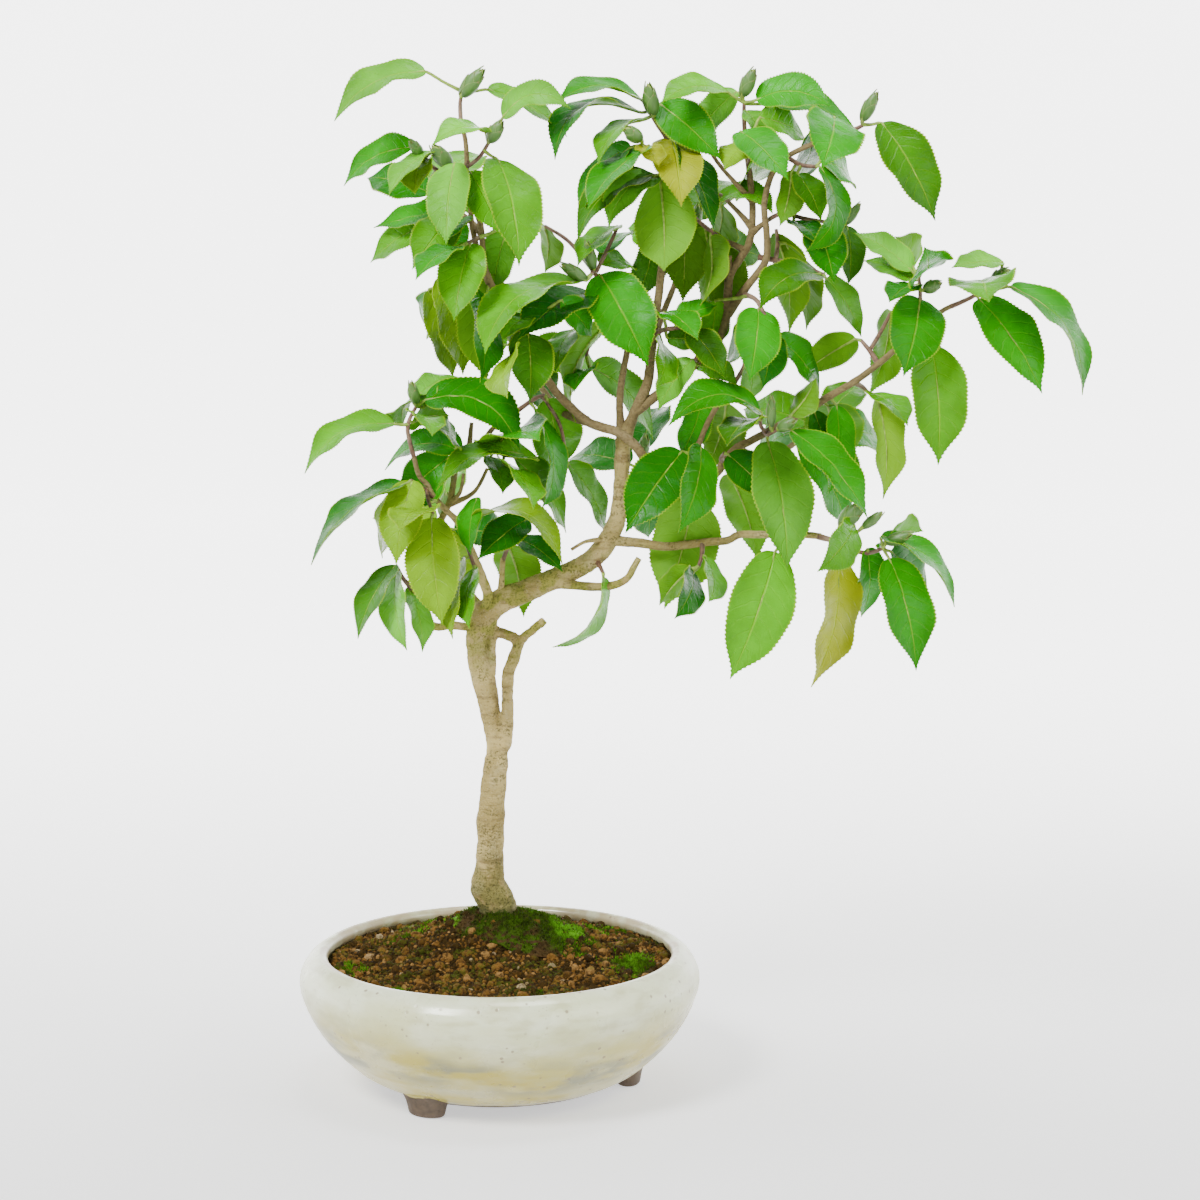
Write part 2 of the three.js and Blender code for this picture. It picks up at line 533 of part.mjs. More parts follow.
      [242, 488, 231, 506, 44, 17, "PU"],
      [241, 486, 207, 508, 14, 14, "LT"],
    ],
    "buds": [[248, 475, 259, 480, 8]],
  },
  "spray_right_long": {
    "twigs": [[[249, 456, -8.4, 1.6], [253, 451, -14, 1.3], [254, 447, -17, 1.1]]],
    "leaves": [[253, 443, 258, 373, -12, 32, "LT"]],
    "buds": [],
  },
  "spray_far_right": {
    "twigs": [[[264, 465.6, -10, 1.5], [272, 469, -12, 1.3], [280, 473, -13, 1.2], [288, 476, -14, 1]]],
    "leaves": [
      [277, 467, 314, 412, -22, 27, "LT"], [298, 477, 342, 414, -8, 12, "MT", 336, 455],
      [281, 480, 286, 468, -56, 37, "LT"],
    ],
    "buds": [[288, 478, 298, 488, 10]],
  },
};

// Sprays behind the tree, out of the front view: the wood that carries each, how many leaves fan
// out from its tip, and their tone.
const BACK_SPRAYS = {
  "spray_back_low": ["back_low", 4, "MT"],
  "spray_back_bough": ["back_bough", 4, "DT"],
  "spray_back_middle": ["back_middle", 4, "MT"],
  "spray_back_centre": ["back_centre", 4, "LT"],
  "spray_back_right": ["back_right", 5, "MT"],
  "spray_back_high": ["back_high", 4, "DT"],
};

const MATERIAL_COLOURS = {
  "pot": 0xd5d6c4,
  "soil": 0x5a4634,
  "moss": 0x8a9a3c,
  "wood": 0xa89c86,
};
const TONE_COLOURS = {
  "D": [40, 66, 38],
  "M": [70, 98, 44],
  "L": [128, 150, 58],
  "P": [126, 146, 112],
  "O": [92, 100, 44],
  "Y": [176, 164, 58],
};

const wasm = await Module();
wasm.setup();

// A point seen at a place across and a height, carried back along its line of sight.
function place(across, height, behind) {
  const reach = (EYE_DISTANCE + behind) / EYE_DISTANCE;
  return new THREE.Vector3(
    EYE_ACROSS + (across - EYE_ACROSS) * reach,
    behind,
    EYE_HEIGHT + (height - EYE_HEIGHT) * reach,
  );
}

const EYE = new THREE.Vector3(EYE_ACROSS, -EYE_DISTANCE, EYE_HEIGHT);

// Closed geometry into a solid for joining and cutting.
function toSolid(geometry) {
  const bare = geometry.clone();
  bare.deleteAttribute("normal");
  bare.deleteAttribute("uv");
  const merged = mergeVertices(bare, 1e-4);
  return new wasm.Manifold(new wasm.Mesh({
    numProp: 3,
    vertProperties: new Float32Array(merged.attributes.position.array),
    triVerts: new Uint32Array(merged.index.array),
  }));
}

function toGeometry(solid) {
  const mesh = solid.getMesh();
  const geometry = new THREE.BufferGeometry();
  geometry.setAttribute("position", new THREE.BufferAttribute(new Float32Array(mesh.vertProperties), 3));
  geometry.setIndex(new THREE.BufferAttribute(new Uint32Array(mesh.triVerts), 1));
  geometry.computeVertexNormals();
  return geometry;
}

function joinAll(solids) {
  return solids.reduce((whole, solid) => whole.add(solid));
}

// Points and triangles as a geometry with its faces pointing out.
function closedGeometry(points, triangles) {
  let volume = 0;
  for (const [a, b, c] of triangles) {
    volume += points[a].dot(points[b].clone().cross(points[c]));
  }
  const outward = volume > 0 ? triangles : triangles.map(([a, b, c]) => [a, c, b]);
  const geometry = new THREE.BufferGeometry().setFromPoints(points);
  geometry.setIndex(outward.flat());
  return geometry;
}

// A round stem through the route's points, bent from a cylinder with one ring at each point. Its
// first ring is slimmer, so that it stays inside what it grows from.
function stem(route, sides, extra = 0, sunk = 1) {
  const centres = route.map((p) => p.centre);
  const last = centres.length - 1;
  const geometry = new THREE.CylinderGeometry(1, 1, last, sides, last);
  const position = geometry.attributes.position;
  const frames = ringFrames(centres);
  for (let i = 0; i < position.count; i += 1) {
    const ring = Math.round(position.getY(i) + last / 2);
    const { along, across, up } = frames[ring];
    const radius = route[ring].radius * (ring === 0 ? sunk : 1) + extra;
    const point = centres[ring].clone();
    point.addScaledVector(across, position.getX(i) * radius);
    point.addScaledVector(up, position.getZ(i) * radius);
    if (ring === 0) {
      point.addScaledVector(along, -extra);
    }
    if (ring === last) {
      point.addScaledVector(along, extra);
    }
    position.setXYZ(i, point.x, point.y, point.z);
  }
  return toSolid(geometry);
}

// Frames along a route, each turned from the one before by the least twist.
function ringFrames(centres) {
  const frames = [];
  let across = null;
  centres.forEach((centre, i) => {
    const before = centres[Math.max(i - 1, 0)];
    const after = centres[Math.min(i + 1, centres.length - 1)];
    const along = after.clone().sub(before).normalize();
    const sideways = Math.abs(along.y) < 0.9 ? new THREE.Vector3(0, 1, 0) : new THREE.Vector3(1, 0, 0);
    const hint = across ?? sideways;
    across = hint.clone().addScaledVector(along, -hint.dot(along)).normalize();
    frames.push({ along, across, up: across.clone().cross(along) });
  });
  return frames;
}

function placedRoute(points) {
  return points.map(([across, height, behind, radius]) => ({
    centre: place(across, height, behind),
    radius,
  }));
}

// The route with its rings no closer than a spacing, both ends kept.
function thinned(route, spacing) {
  const kept = [route[0]];
  for (const ring of route.slice(1, -1)) {
    const nearEnd = ring.centre.distanceTo(route[route.length - 1].centre) < spacing * 0.6;
    if (ring.centre.distanceTo(kept[kept.length - 1].centre) >= spacing && !nearEnd) {
      kept.push(ring);
    }
  }
  return [...kept, route[route.length - 1]];
}

// The largest body of a solid, without loose scraps.
function largestBody(solid) {
  const mesh = solid.getMesh();
  const count = mesh.vertProperties.length / 3;
  const leader = Array.from({ length: count }, (_, i) => i);
  const find = (i) => {
    while (leader[i] !== i) {
      i = leader[i];
    }
    return i;
  };
  const size = new Map();
  const index = mesh.triVerts;
  for (let i = 0; i < index.length; i += 3) {
    leader[find(index[i])] = find(index[i + 1]);
    leader[find(index[i + 1])] = find(index[i + 2]);
  }
  for (const vertex of index) {
    size.set(find(vertex), (size.get(find(vertex)) ?? 0) + 1);
  }
  const largest = [...size].sort((a, b) => b[1] - a[1])[0][0];
  const kept = [];
  for (let i = 0; i < index.length; i += 3) {
    if (find(index[i]) === largest) {
      kept.push(index[i], index[i + 1], index[i + 2]);
    }
  }
  const geometry = new THREE.BufferGeometry();
  geometry.setAttribute("position", new THREE.BufferAttribute(new Float32Array(mesh.vertProperties), 3));
  geometry.setIndex(kept);
  return toSolid(geometry.toNonIndexed());
}

// The nearest place on a spray's twigs to a point of the front view.
function nearestOnTwigs(twigs, across, height) {
  let best = null;
  for (const twig of twigs) {
    for (let i = 0; i + 1 < twig.length; i += 1) {
      const [ax, az, ay] = twig[i];
      const [bx, bz, by] = twig[i + 1];
      const length = (bx - ax) ** 2 + (bz - az) ** 2 || 1;
      const along = ((across - ax) * (bx - ax) + (height - az) * (bz - az)) / length;
      const share = Math.min(Math.max(along, i === 0 ? 0.45 : 0), 0.96);
      const spot = [ax + (bx - ax) * share, az + (bz - az) * share, ay + (by - ay) * share];
      const far = Math.hypot(spot[0] - across, spot[1] - height);
      if (best === null || far < best.far) {
        best = { far, spot };
      }
    }
  }
  return best.spot;
}

// A leaf's midrib and the direction its top faces, from its row in the layout.
function leafShape(twigs, row, swing) {
  const [footX, footZ, tipX, tipZ, tipBehind, seenWidth, look, midX, midZ] = row;
  const [rootX, rootZ, rootBehind] = nearestOnTwigs(twigs, footX, footZ);
  const root = place(rootX, rootZ, rootBehind);
  const toFoot = Math.hypot(footX - rootX, footZ - rootZ);
  const lean = Math.sign(tipBehind) * Math.min(toFoot * 0.3, 4);
  const foot = place(footX, footZ, rootBehind + lean);
  const tip = place(tipX, tipZ, rootBehind + lean + tipBehind + swing * SWING_STEP);
  const chord = tip.clone().sub(foot);
  const length = chord.length();
  const widest = Math.min(Math.max(length * LEAF_SLENDERNESS, LEAF_WIDTH_MIN), LEAF_WIDTH_MAX);
  const width = Math.max(widest, seenWidth + 1);
  chord.normalize();
  const toEye = EYE.clone().sub(foot).normalize();
  toEye.addScaledVector(chord, -toEye.dot(chord)).normalize();
  const aside = chord.clone().cross(toEye);
  const middle = foot.clone().add(tip).multiplyScalar(0.5);
  let bend = null;
  if (midX !== undefined) {
    bend = place(midX, midZ, rootBehind + lean + tipBehind * 0.5).sub(middle);
    bend.addScaledVector(chord, -bend.dot(chord));
  }
  const guide = bend ?? new THREE.Vector3(middle.x * 0.004, 0.1, 1);
  if (aside.dot(guide) < 0) {
    aside.negate();
  }
  const turn = Math.acos(Math.min(seenWidth / width, 1));
  const facing = look[1] === "U" ? -Math.cos(turn) : Math.cos(turn);
  const top = toEye.clone().multiplyScalar(facing).addScaledVector(aside, Math.sin(turn)).normalize();
  const halfway = bend ? middle.add(bend) : middle.addScaledVector(top, LEAF_ARCH * length);
  const control = halfway.clone().multiplyScalar(2).addScaledVector(foot, -0.5).addScaledVector(tip, -0.5);
  const broad = length * seenWidth > BROAD_LEAF && tipBehind < 10;
  const evened = broad ? width : width * PLAIN_LEAF_WIDENING;
  const midrib = new THREE.QuadraticBezierCurve3(foot, control, tip);
  return { root, foot, width: evened, length, top, broad, midrib };
}

// Where the blade's surface lies at a share of its length and from -1 to 1 across it.
function onBlade(leaf, share, side) {
  const centre = leaf.midrib.getPoint(share);
  const along = leaf.midrib.getTangent(share);
  const across = leaf.top.clone().cross(along).normalize();
  const normal = along.clone().cross(across).normalize();
  const half = leaf.width / 2 * bladeOutline(share);
  const wave = Math.sin(share * 14 + side * 1.7) * EDGE_WAVE * leaf.width * side * side;
  const lift = half * LEAF_FOLD * side * side + wave * bladeOutline(share);
  const point = centre.addScaledVector(across, half * side).addScaledVector(normal, lift);
  return { point, normal };
}

// Half width along the blade, from 0 to 1: broad below the middle, drawn out to a point.
function bladeOutline(share) {
  return Math.sin(Math.PI * share ** 0.82) ** 0.85 * (1 - 0.18 * share);
}

// A leaf: a thin folded blade with waved edges on a three-sided stalk. Both faces of the blade
// are split into triangles alike.
function leafSolid(leaf) {
  const points = [];
  const triangles = [];
  const start = onBlade(leaf, 0.02, 0);
  const along = leaf.foot.clone().sub(leaf.root).normalize();
  const rings = [[leaf.root, STALK_RADIUS * 0.5]];
  if (leaf.root.distanceTo(leaf.foot) > SHORT_STALK) {
    rings.push([start.point, STALK_RADIUS]);
  }
  for (const [end, radius] of rings) {
    const up = start.normal;
    const aside = up.clone().cross(along).normalize();
    points.push(end.clone().addScaledVector(aside, -radius).addScaledVector(up, radius * 0.5));
    points.push(end.clone().addScaledVector(aside, radius).addScaledVector(up, radius * 0.5));
    points.push(end.clone().addScaledVector(up, -radius));
  }
  triangles.push([0, 2, 1]);
  if (rings.length > 1) {
    for (const [a, b] of [[0, 1], [1, 2], [2, 0]]) {
      triangles.push([a, b, b + 3], [a, b + 3, a + 3]);
    }
  }
  const shares = leaf.broad ? [0.2, 0.48, 0.76] : [0.3, 0.68];
  for (const share of shares) {
    for (const face of [1, -1]) {
      for (const side of [-1, 0, 1]) {
        const { point, normal } = onBlade(leaf, share, side);
        points.push(point.addScaledVector(normal, face * LEAF_THICKNESS / 2));
      }
    }
  }
  // Rows of six: left, rib and right on top (0, 1, 2), then the same below (3, 4, 5).
  const first = 3 * rings.length;
  const [left, right, below] = [first - 3, first - 2, first - 1];
  triangles.push(
    [left, first + 1, first], [left, right, first + 1], [right, first + 2, first + 1],
    [right, first + 5, first + 2], [right, below, first + 5], [below, first + 4, first + 5],
    [below, first + 3, first + 4], [below, left, first + 3], [left, first, first + 3],
  );
  for (let row = first; row < first + 6 * (shares.length - 1); row += 6) {
    const next = row + 6;
    for (const [a, b] of [[0, 1], [1, 2]]) {
      triangles.push([row + a, row + b, next + b], [row + a, next + b, next + a]);
      triangles.push([row + 3 + b, row + 3 + a, next + 3 + b], [next + 3 + b, row + 3 + a, next + 3 + a]);
    }
    triangles.push([row + 2, row + 5, next + 5], [row + 2, next + 5, next + 2]);
    triangles.push([row + 3, row, next], [row + 3, next, next + 3]);
  }
  const end = onBlade(leaf, 1, 0);
  const row = first + 6 * (shares.length - 1);
  const tip = points.length;
  points.push(end.point.clone().addScaledVector(end.normal, LEAF_THICKNESS / 3));
  points.push(end.point.clone().addScaledVector(end.normal, -LEAF_THICKNESS / 3));
  triangles.push(
    [row, row + 1, tip], [row + 1, row + 2, tip], [row + 4, row + 3, tip + 1], [row + 5, row + 4, tip + 1],
    [row + 2, row + 5, tip + 1], [row + 2, tip + 1, tip], [row + 3, row, tip], [row + 3, tip, tip + 1],
  );
  return toSolid(closedGeometry(points, triangles));
}

// A pointed bud's rings: a slim egg on its own short foot.
function budRoute(twigs, [footX, footZ, tipX, tipZ, width]) {
  const [rootX, rootZ, rootBehind] = nearestOnTwigs(twigs, footX, footZ);
  const root = place(rootX, rootZ, rootBehind);
  const foot = place(footX, footZ, rootBehind - 2);
  const tip = place(tipX, tipZ, rootBehind - 7);
  const at = (share) => foot.clone().lerp(tip, share);
  return [
    { centre: root, radius: 0.6 },
    { centre: at(0.05), radius: 1.3 },
    { centre: at(0.45), radius: width / 2 },
    { centre: tip, radius: 0.35 },
  ];
}

// What is already in place, kept in cells so that near things are found quickly.
const CELL = 16;
const taken = new Map();

function cellKey(x, y, z) {
  return `${Math.floor(x / CELL)},${Math.floor(y / CELL)},${Math.floor(z / CELL)}`;
}

function take(point, radius, blade, owner) {
  const key = cellKey(point.x, point.y, point.z);
  if (!taken.has(key)) {
    taken.set(key, []);
  }
  taken.get(key).push({ point, radius, blade, owner });
}

function takeRoute(route, owner) {
  for (let i = 0; i + 1 < route.length; i += 1) {
    const steps = Math.ceil(route[i].centre.distanceTo(route[i + 1].centre) / 3);
    for (let k = 0; k <= steps; k += 1) {
      const point = route[i].centre.clone().lerp(route[i + 1].centre, k / steps);
      const radius = route[i].radius + (route[i + 1].radius - route[i].radius) * k / steps;
      take(point, radius, false, owner);
    }
  }
}

// How much more room a sample has than it needs, at the tightest place; below 0 it is too near.
function spareRoom(point, radius, blade, owner, near) {
  let spare = Infinity;
  for (let dx = -1; dx <= 1; dx += 1) {
    for (let dy = -1; dy <= 1; dy += 1) {
      for (let dz = -1; dz <= 1; dz += 1) {
        const key = cellKey(point.x + dx * CELL, point.y + dy * CELL, point.z + dz * CELL);
        for (const other of taken.get(key) ?? []) {
          if (other.owner === owner && (near || !other.blade)) {
            continue;
          }
          let need = radius + other.radius + 0.7;
          if (blade && other.blade) {
            need = BLADE_ROOM;
          } else if (blade || other.blade) {
            need = Math.hypot(need + 0.3, SAMPLE_REACH);
          }
          spare = Math.min(spare, point.distanceTo(other.point) - need);
        }
      }
    }
  }
  return spare;
}

function leafSamples(leaf) {
  const samples = [];
  const rows = Math.ceil(leaf.length / 4.5);
  const columns = Math.ceil(leaf.width / 4.5);
  for (let i = 0; i <= rows; i += 1) {
    for (let k = 0; k <= columns; k += 1) {
      const share = 0.04 + 0.96 * i / rows;
      const { point } = onBlade(leaf, share, k / columns * 2 - 1);
      samples.push({ point, radius: LEAF_THICKNESS / 2, blade: true, near: share < 0.3 });
    }
  }
  const stalk = Math.ceil(leaf.root.distanceTo(leaf.foot) / 2);
  for (let i = 1; i <= stalk; i += 1) {
    const point = leaf.root.clone().lerp(leaf.foot, i / stalk);
    samples.push({ point, radius: STALK_RADIUS, blade: false, near: true });
  }
  return samples;
}

// Swings a leaf's tip forward or back until nothing is in its way.
function clearLeaf(twigs, row, owner) {
  let best = null;
  for (const swing of SWINGS) {
    const leaf = leafShape(twigs, row, swing);
    const samples = leafSamples(leaf);
    let spare = Infinity;
    for (const { point, radius, blade, near } of samples) {
      spare = Math.min(spare, spareRoom(point, radius, blade, owner, near));
    }
    if (best === null || spare > best.spare) {
      best = { spare, leaf, samples, swing };
    }
    if (spare >= 0) {
      break;
    }
  }
  for (const { point, radius, blade } of best.samples) {
    take(point, radius, blade, owner);
  }
  return best;
}

// A seeded draw from 0 to 1.
function seededDraw(seed) {
  let state = seed;
  return () => {
    state = (state * 16807) % 2147483647;
    return state / 2147483647;
  };
}

// The layout of a spray behind the tree: a short twig on the tip of its wood with leaves that fan
// out and away.
function backLayout(name, [carrier, count, look], seed) {
  const draw = seededDraw(seed);
  const route = WOOD[carrier];
  const [ax, az, ay] = route[route.length - 2];
  const [bx, bz, by, radius] = route[route.length - 1];
  const reach = 16 / Math.hypot(bx - ax, bz - az, by - ay);
  const end = [bx + (bx - ax) * reach, bz + (bz - az) * reach, by + (by - ay) * reach, 1];
  const start = [bx - (bx - ax) * 0.02, bz - (bz - az) * 0.02, by - (by - ay) * 0.02, radius];
  const leaves = [];
  for (let i = 0; i < count; i += 1) {
    const share = 0.3 + 0.7 * i / (count - 1);
    const angle = i * 2.4 + draw() * 0.5;
    const foot = [
      start[0] + (end[0] - start[0]) * share + Math.cos(angle) * 5,
      start[1] + (end[1] - start[1]) * share + Math.sin(angle) * 5,
    ];
    const span = 34 + draw() * 10;
    const behind = i === count - 1 ? 54 : 26 + draw() * 22;
    leaves.push([
      foot[0], foot[1], foot[0] + Math.cos(angle) * span, foot[1] + Math.sin(angle) * span * 0.8 - 8,
      behind, 20 + draw() * 6, look,
    ]);
  }
  const buds = [[end[0], end[1], end[0] + 3, end[1] + 15, 8]];
  return { name, layout: { "twigs": [[start, end]], leaves, buds } };
}

function averageColour(leaves) {
  const sum = [0, 0, 0];
  for (const row of leaves) {
    TONE_COLOURS[row[6][0]].forEach((value, i) => {
      sum[i] += value / 255 / leaves.length;
    });
  }
  return new THREE.Color().setRGB(...sum, THREE.SRGBColorSpace);
}

// Height of the soil: level at the wall and heaped up round the foot of the trunk.
function soilHeight(x, y) {
  const away = Math.hypot(x - TRUNK_FOOT.x, y - TRUNK_FOOT.y);
  const heap = MOUND_HEIGHT * Math.exp(-((away / MOUND_RADIUS) ** 2));
  const bumps = 0.8 * Math.sin(x * 0.11 + 1) * Math.sin(y * 0.13) + 0.5 * Math.sin(x * 0.23 - y * 0.19);
  const fade = 1 - Math.min(Math.hypot(x, y) / SOIL_EDGE_RADIUS, 1) ** 6;
  return SOIL_EDGE_HEIGHT + (heap + bumps) * fade;
}

// The bowl's profile outside (radius, height) up to the middle of the rim, and inside back down.
const OUTER_PROFILE = [
  [0, 5], [68, 5], [84, 12.2], [100, 26], [111, 40.5], [117.5, 54], [POT_BELLY_RADIUS, 64],
  [117.3, 74], [111.5, 80.3], [107.5, POT_HEIGHT],
];
const INNER_PROFILE = [
  [104, 81], [POT_OPENING_RADIUS, 78], [106.5, 73], [110.5, 64], [107.5, 53], [98, 36], [84, 22.5],
  [64, 15.5], [0, 14.5],
];

// LatheGeometry turns about Y: turned upright, its heights run along Z.
function lathe(profile, sides = POT_SIDES) {
  const points = profile.map(([radius, height]) => new THREE.Vector2(radius, height));
  const geometry = new THREE.LatheGeometry(points, sides);
  geometry.rotateX(Math.PI / 2);
  return geometry;
}

function bareGeometry(geometry) {
  geometry.deleteAttribute("normal");
  geometry.deleteAttribute("uv");
  return geometry;
}

// A closed geometry as a solid: its seam is welded and triangles without an area are left out.
function solidFrom(geometry) {
  const merged = mergeVertices(bareGeometry(geometry), 1e-4);
  const corners = [];
  const position = merged.attributes.position;
  for (let i = 0; i < position.count; i += 1) {
    corners.push(new THREE.Vector3().fromBufferAttribute(position, i));
  }
  const triangles = [];
  const index = merged.index.array;
  for (let i = 0; i < index.length; i += 3) {
    const corner = [index[i], index[i + 1], index[i + 2]];
    if (new Set(corner).size === 3) {
      triangles.push(corner);
    }
  }
  return toSolid(closedGeometry(corners, triangles));
}

// The hollow of the bowl, made smaller all round by a gap.
function hollowProfile(gap) {
  return INNER_PROFILE.map(([radius, height]) => [Math.max(radius - gap, 0), height + gap * 0.6]);
}

function makePot() {
  const rim = OUTER_PROFILE[OUTER_PROFILE.length - 1];
  const above = POT_HEIGHT + 5;
  const body = solidFrom(lathe([...OUTER_PROFILE, [0, POT_HEIGHT]]));
  const feet = FOOT_ANGLES.map((degrees) => {
    const geometry = new THREE.CylinderGeometry(FOOT_WIDTH / 2 + 5, FOOT_WIDTH / 2, 26, 8, 1);
    geometry.rotateX(Math.PI / 2);
    geometry.scale(FOOT_DEPTH / FOOT_WIDTH, 1, 1);
    geometry.translate(FOOT_CIRCLE, 0, 13);
    geometry.rotateZ(THREE.MathUtils.degToRad(degrees));
    return toSolid(geometry);
  });
  const hollow = solidFrom(lathe([[0, above], [rim[0] - 0.6, above], rim, ...INNER_PROFILE]));
  const drain = new THREE.CylinderGeometry(DRAIN_RADIUS, DRAIN_RADIUS, 40, 16, 1);
  drain.rotateX(Math.PI / 2);
  return joinAll([body, ...feet]).subtract(hollow).subtract(toSolid(drain));
}

// Soil: fills the hollow to its heaped top. It passes over one ring of the wall's curve.
function soilBody(raise) {
  const wall = hollowProfile(CLEARANCE).filter(([, height], i) => height < SOIL_EDGE_HEIGHT && i !== 4);
  const rings = [SOIL_EDGE_RADIUS, 82, 56, 29].map((radius) => [radius, SOIL_EDGE_HEIGHT]);
  const profile = [...wall.reverse(), ...rings, [0, SOIL_EDGE_HEIGHT]];
  const geometry = lathe(profile);
  const position = geometry.attributes.position;
  for (let i = 0; i < position.count; i += 1) {
    if (Math.abs(position.getZ(i) - SOIL_EDGE_HEIGHT) < 0.01) {
      position.setZ(i, soilHeight(position.getX(i), position.getY(i)) + raise);
    }
  }
  return solidFrom(geometry);
}

// A cushion of moss with a lumpy edge, lying on the soil.
function mossSolid(centre, reach, thickness, sides) {
  const geometry = new THREE.SphereGeometry(1, sides, 4);
  geometry.rotateX(Math.PI / 2);
  const position = geometry.attributes.position;
  for (let i = 0; i < position.count; i += 1) {
    const angle = Math.atan2(position.getY(i), position.getX(i));
    const lumpy = 1 + 0.16 * Math.sin(angle * 3 + centre.x) + 0.09 * Math.sin(angle * 5 + 1);
    const x = centre.x + position.getX(i) * reach.x * lumpy;
    const y = centre.y + position.getY(i) * reach.y * lumpy;
    position.setXYZ(i, x, y, soilHeight(x, y) + CLEARANCE + position.getZ(i) * thickness);
  }
  return solidFrom(geometry);
}

const group = new THREE.Group();

function addPiece(name, solid, colour, roughness) {
  const material = new THREE.MeshStandardMaterial({ color: colour, roughness, metalness: 0 });
  const mesh = new THREE.Mesh(toGeometry(solid), material);
  mesh.name = name;
  group.add(mesh);
}

// The wood is one body; a fatter copy of it leaves the gap round it in what it passes through.
const woodRoutes = Object.entries(WOOD).map(([name, points]) => {
  const thick = Math.max(...points.map((point) => point[3]));
  const route = placedRoute(points);
  if (thick > 4) {
    return { route, sides: name === "trunk" ? 9 : 6, sunk: 1 };
  }
  return { route: thinned(route, RING_SPACING), sides: thick > 3.2 ? 5 : 4, sunk: 0.75 };
});
const wood = joinAll(woodRoutes.map(({ route, sides, sunk }) => stem(route, sides, 0, sunk)));
const woodRoom = joinAll(woodRoutes.map(({ route, sides, sunk }) => stem(route, sides, CLEARANCE, sunk)));
for (const { route } of woodRoutes) {
  takeRoute(route, "wood");
}

const soilTop = soilBody(CLEARANCE);
addPiece("pot", makePot(), MATERIAL_COLOURS.pot, 0.25);
addPiece("soil", soilBody(0).subtract(woodRoom), MATERIAL_COLOURS.soil, 1);
const mossCushion = mossSolid({ x: 12, y: 20 }, { x: 42, y: 34 }, 5, 14);
addPiece("moss_cushion", mossCushion.subtract(soilTop).subtract(woodRoom), MATERIAL_COLOURS.moss, 1);
const mossPatch = mossSolid({ x: 80, y: -16 }, { x: 15, y: 20 }, 3.4, 12);
addPiece("moss_patch", mossPatch.subtract(soilTop), MATERIAL_COLOURS.moss, 1);
addPiece("wood", wood, MATERIAL_COLOURS.wood, 0.85);

const layouts = Object.entries(SPRAYS).map(([name, layout]) => ({ name, layout }));
Object.entries(BACK_SPRAYS).forEach(([name, plan], i) => {
  layouts.push(backLayout(name, plan, 71 + i * 13));
});
for (const { name, layout } of layouts) {
  for (const twig of layout.twigs) {
    takeRoute(placedRoute(twig), name);
  }
  for (const bud of layout.buds) {
    takeRoute(budRoute(layout.twigs, bud), name);
  }
}
for (const { name, layout } of layouts) {
  const parts = layout.twigs.map((twig, i) => stem(placedRoute(twig), 3, 0.15, i > 0 ? 0.7 : 1));
  for (const bud of layout.buds) {
    parts.push(stem(budRoute(layout.twigs, bud), 4));
  }
  for (const row of layout.leaves) {
    const { leaf } = clearLeaf(layout.twigs, row, name);
    parts.push(leafSolid(leaf));
  }
  addPiece(name, largestBody(joinAll(parts).subtract(woodRoom)), averageColour(layout.leaves), 0.35);
}

// The middle of the ground under everything becomes the origin.
const bounds = new THREE.Box3().setFromObject(group);
const middle = bounds.getCenter(new THREE.Vector3());
group.position.set(-middle.x, -middle.y, -bounds.min.z);
group.updateMatrixWorld(true);

export default group;
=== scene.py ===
"""A japanese camellia bonsai in a glazed bowl: bark, leaves, buds, soil, moss and the studio."""

import math

import bmesh
import bpy
import numpy as np
from bpy.props import FloatProperty, FloatVectorProperty, IntProperty, PointerProperty
from mathutils import Matrix, Vector, noise


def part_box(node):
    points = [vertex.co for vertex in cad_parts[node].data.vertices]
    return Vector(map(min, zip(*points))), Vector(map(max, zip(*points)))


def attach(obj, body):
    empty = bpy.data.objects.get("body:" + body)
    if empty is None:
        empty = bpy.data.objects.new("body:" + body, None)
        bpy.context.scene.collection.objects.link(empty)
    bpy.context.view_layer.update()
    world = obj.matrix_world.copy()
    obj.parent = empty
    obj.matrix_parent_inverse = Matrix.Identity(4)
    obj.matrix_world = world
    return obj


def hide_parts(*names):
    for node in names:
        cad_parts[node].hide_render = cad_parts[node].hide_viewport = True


bl_info = {
    "name": "Camellia bonsai",
    "version": (1, 0, 0),
    "blender": (4, 5, 0),
    "location": "View3D > Sidebar > Camellia",
    "description": "Grows a japanese camellia bonsai in its glazed bowl",
    "category": "Object",
}

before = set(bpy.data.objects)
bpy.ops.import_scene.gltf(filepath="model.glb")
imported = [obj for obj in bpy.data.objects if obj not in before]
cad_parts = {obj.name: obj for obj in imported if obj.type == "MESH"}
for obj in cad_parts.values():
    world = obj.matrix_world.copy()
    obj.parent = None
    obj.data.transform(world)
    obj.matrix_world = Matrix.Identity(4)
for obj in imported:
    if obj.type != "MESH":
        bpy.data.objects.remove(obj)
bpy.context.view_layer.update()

MM = 0.001
BODY = "root"
BOWL_LOW, BOWL_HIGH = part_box("pot")
BOWL_AXIS = Vector(((BOWL_LOW.x + BOWL_HIGH.x) / 2, (BOWL_LOW.y + BOWL_HIGH.y) / 2, 0))

# Where the eye stands, in millimetres from the bowl's axis: across, back and up.
EYE_ACROSS, EYE_DISTANCE, EYE_HEIGHT = 60, 1750, 550
EYE_TILT = 8.35

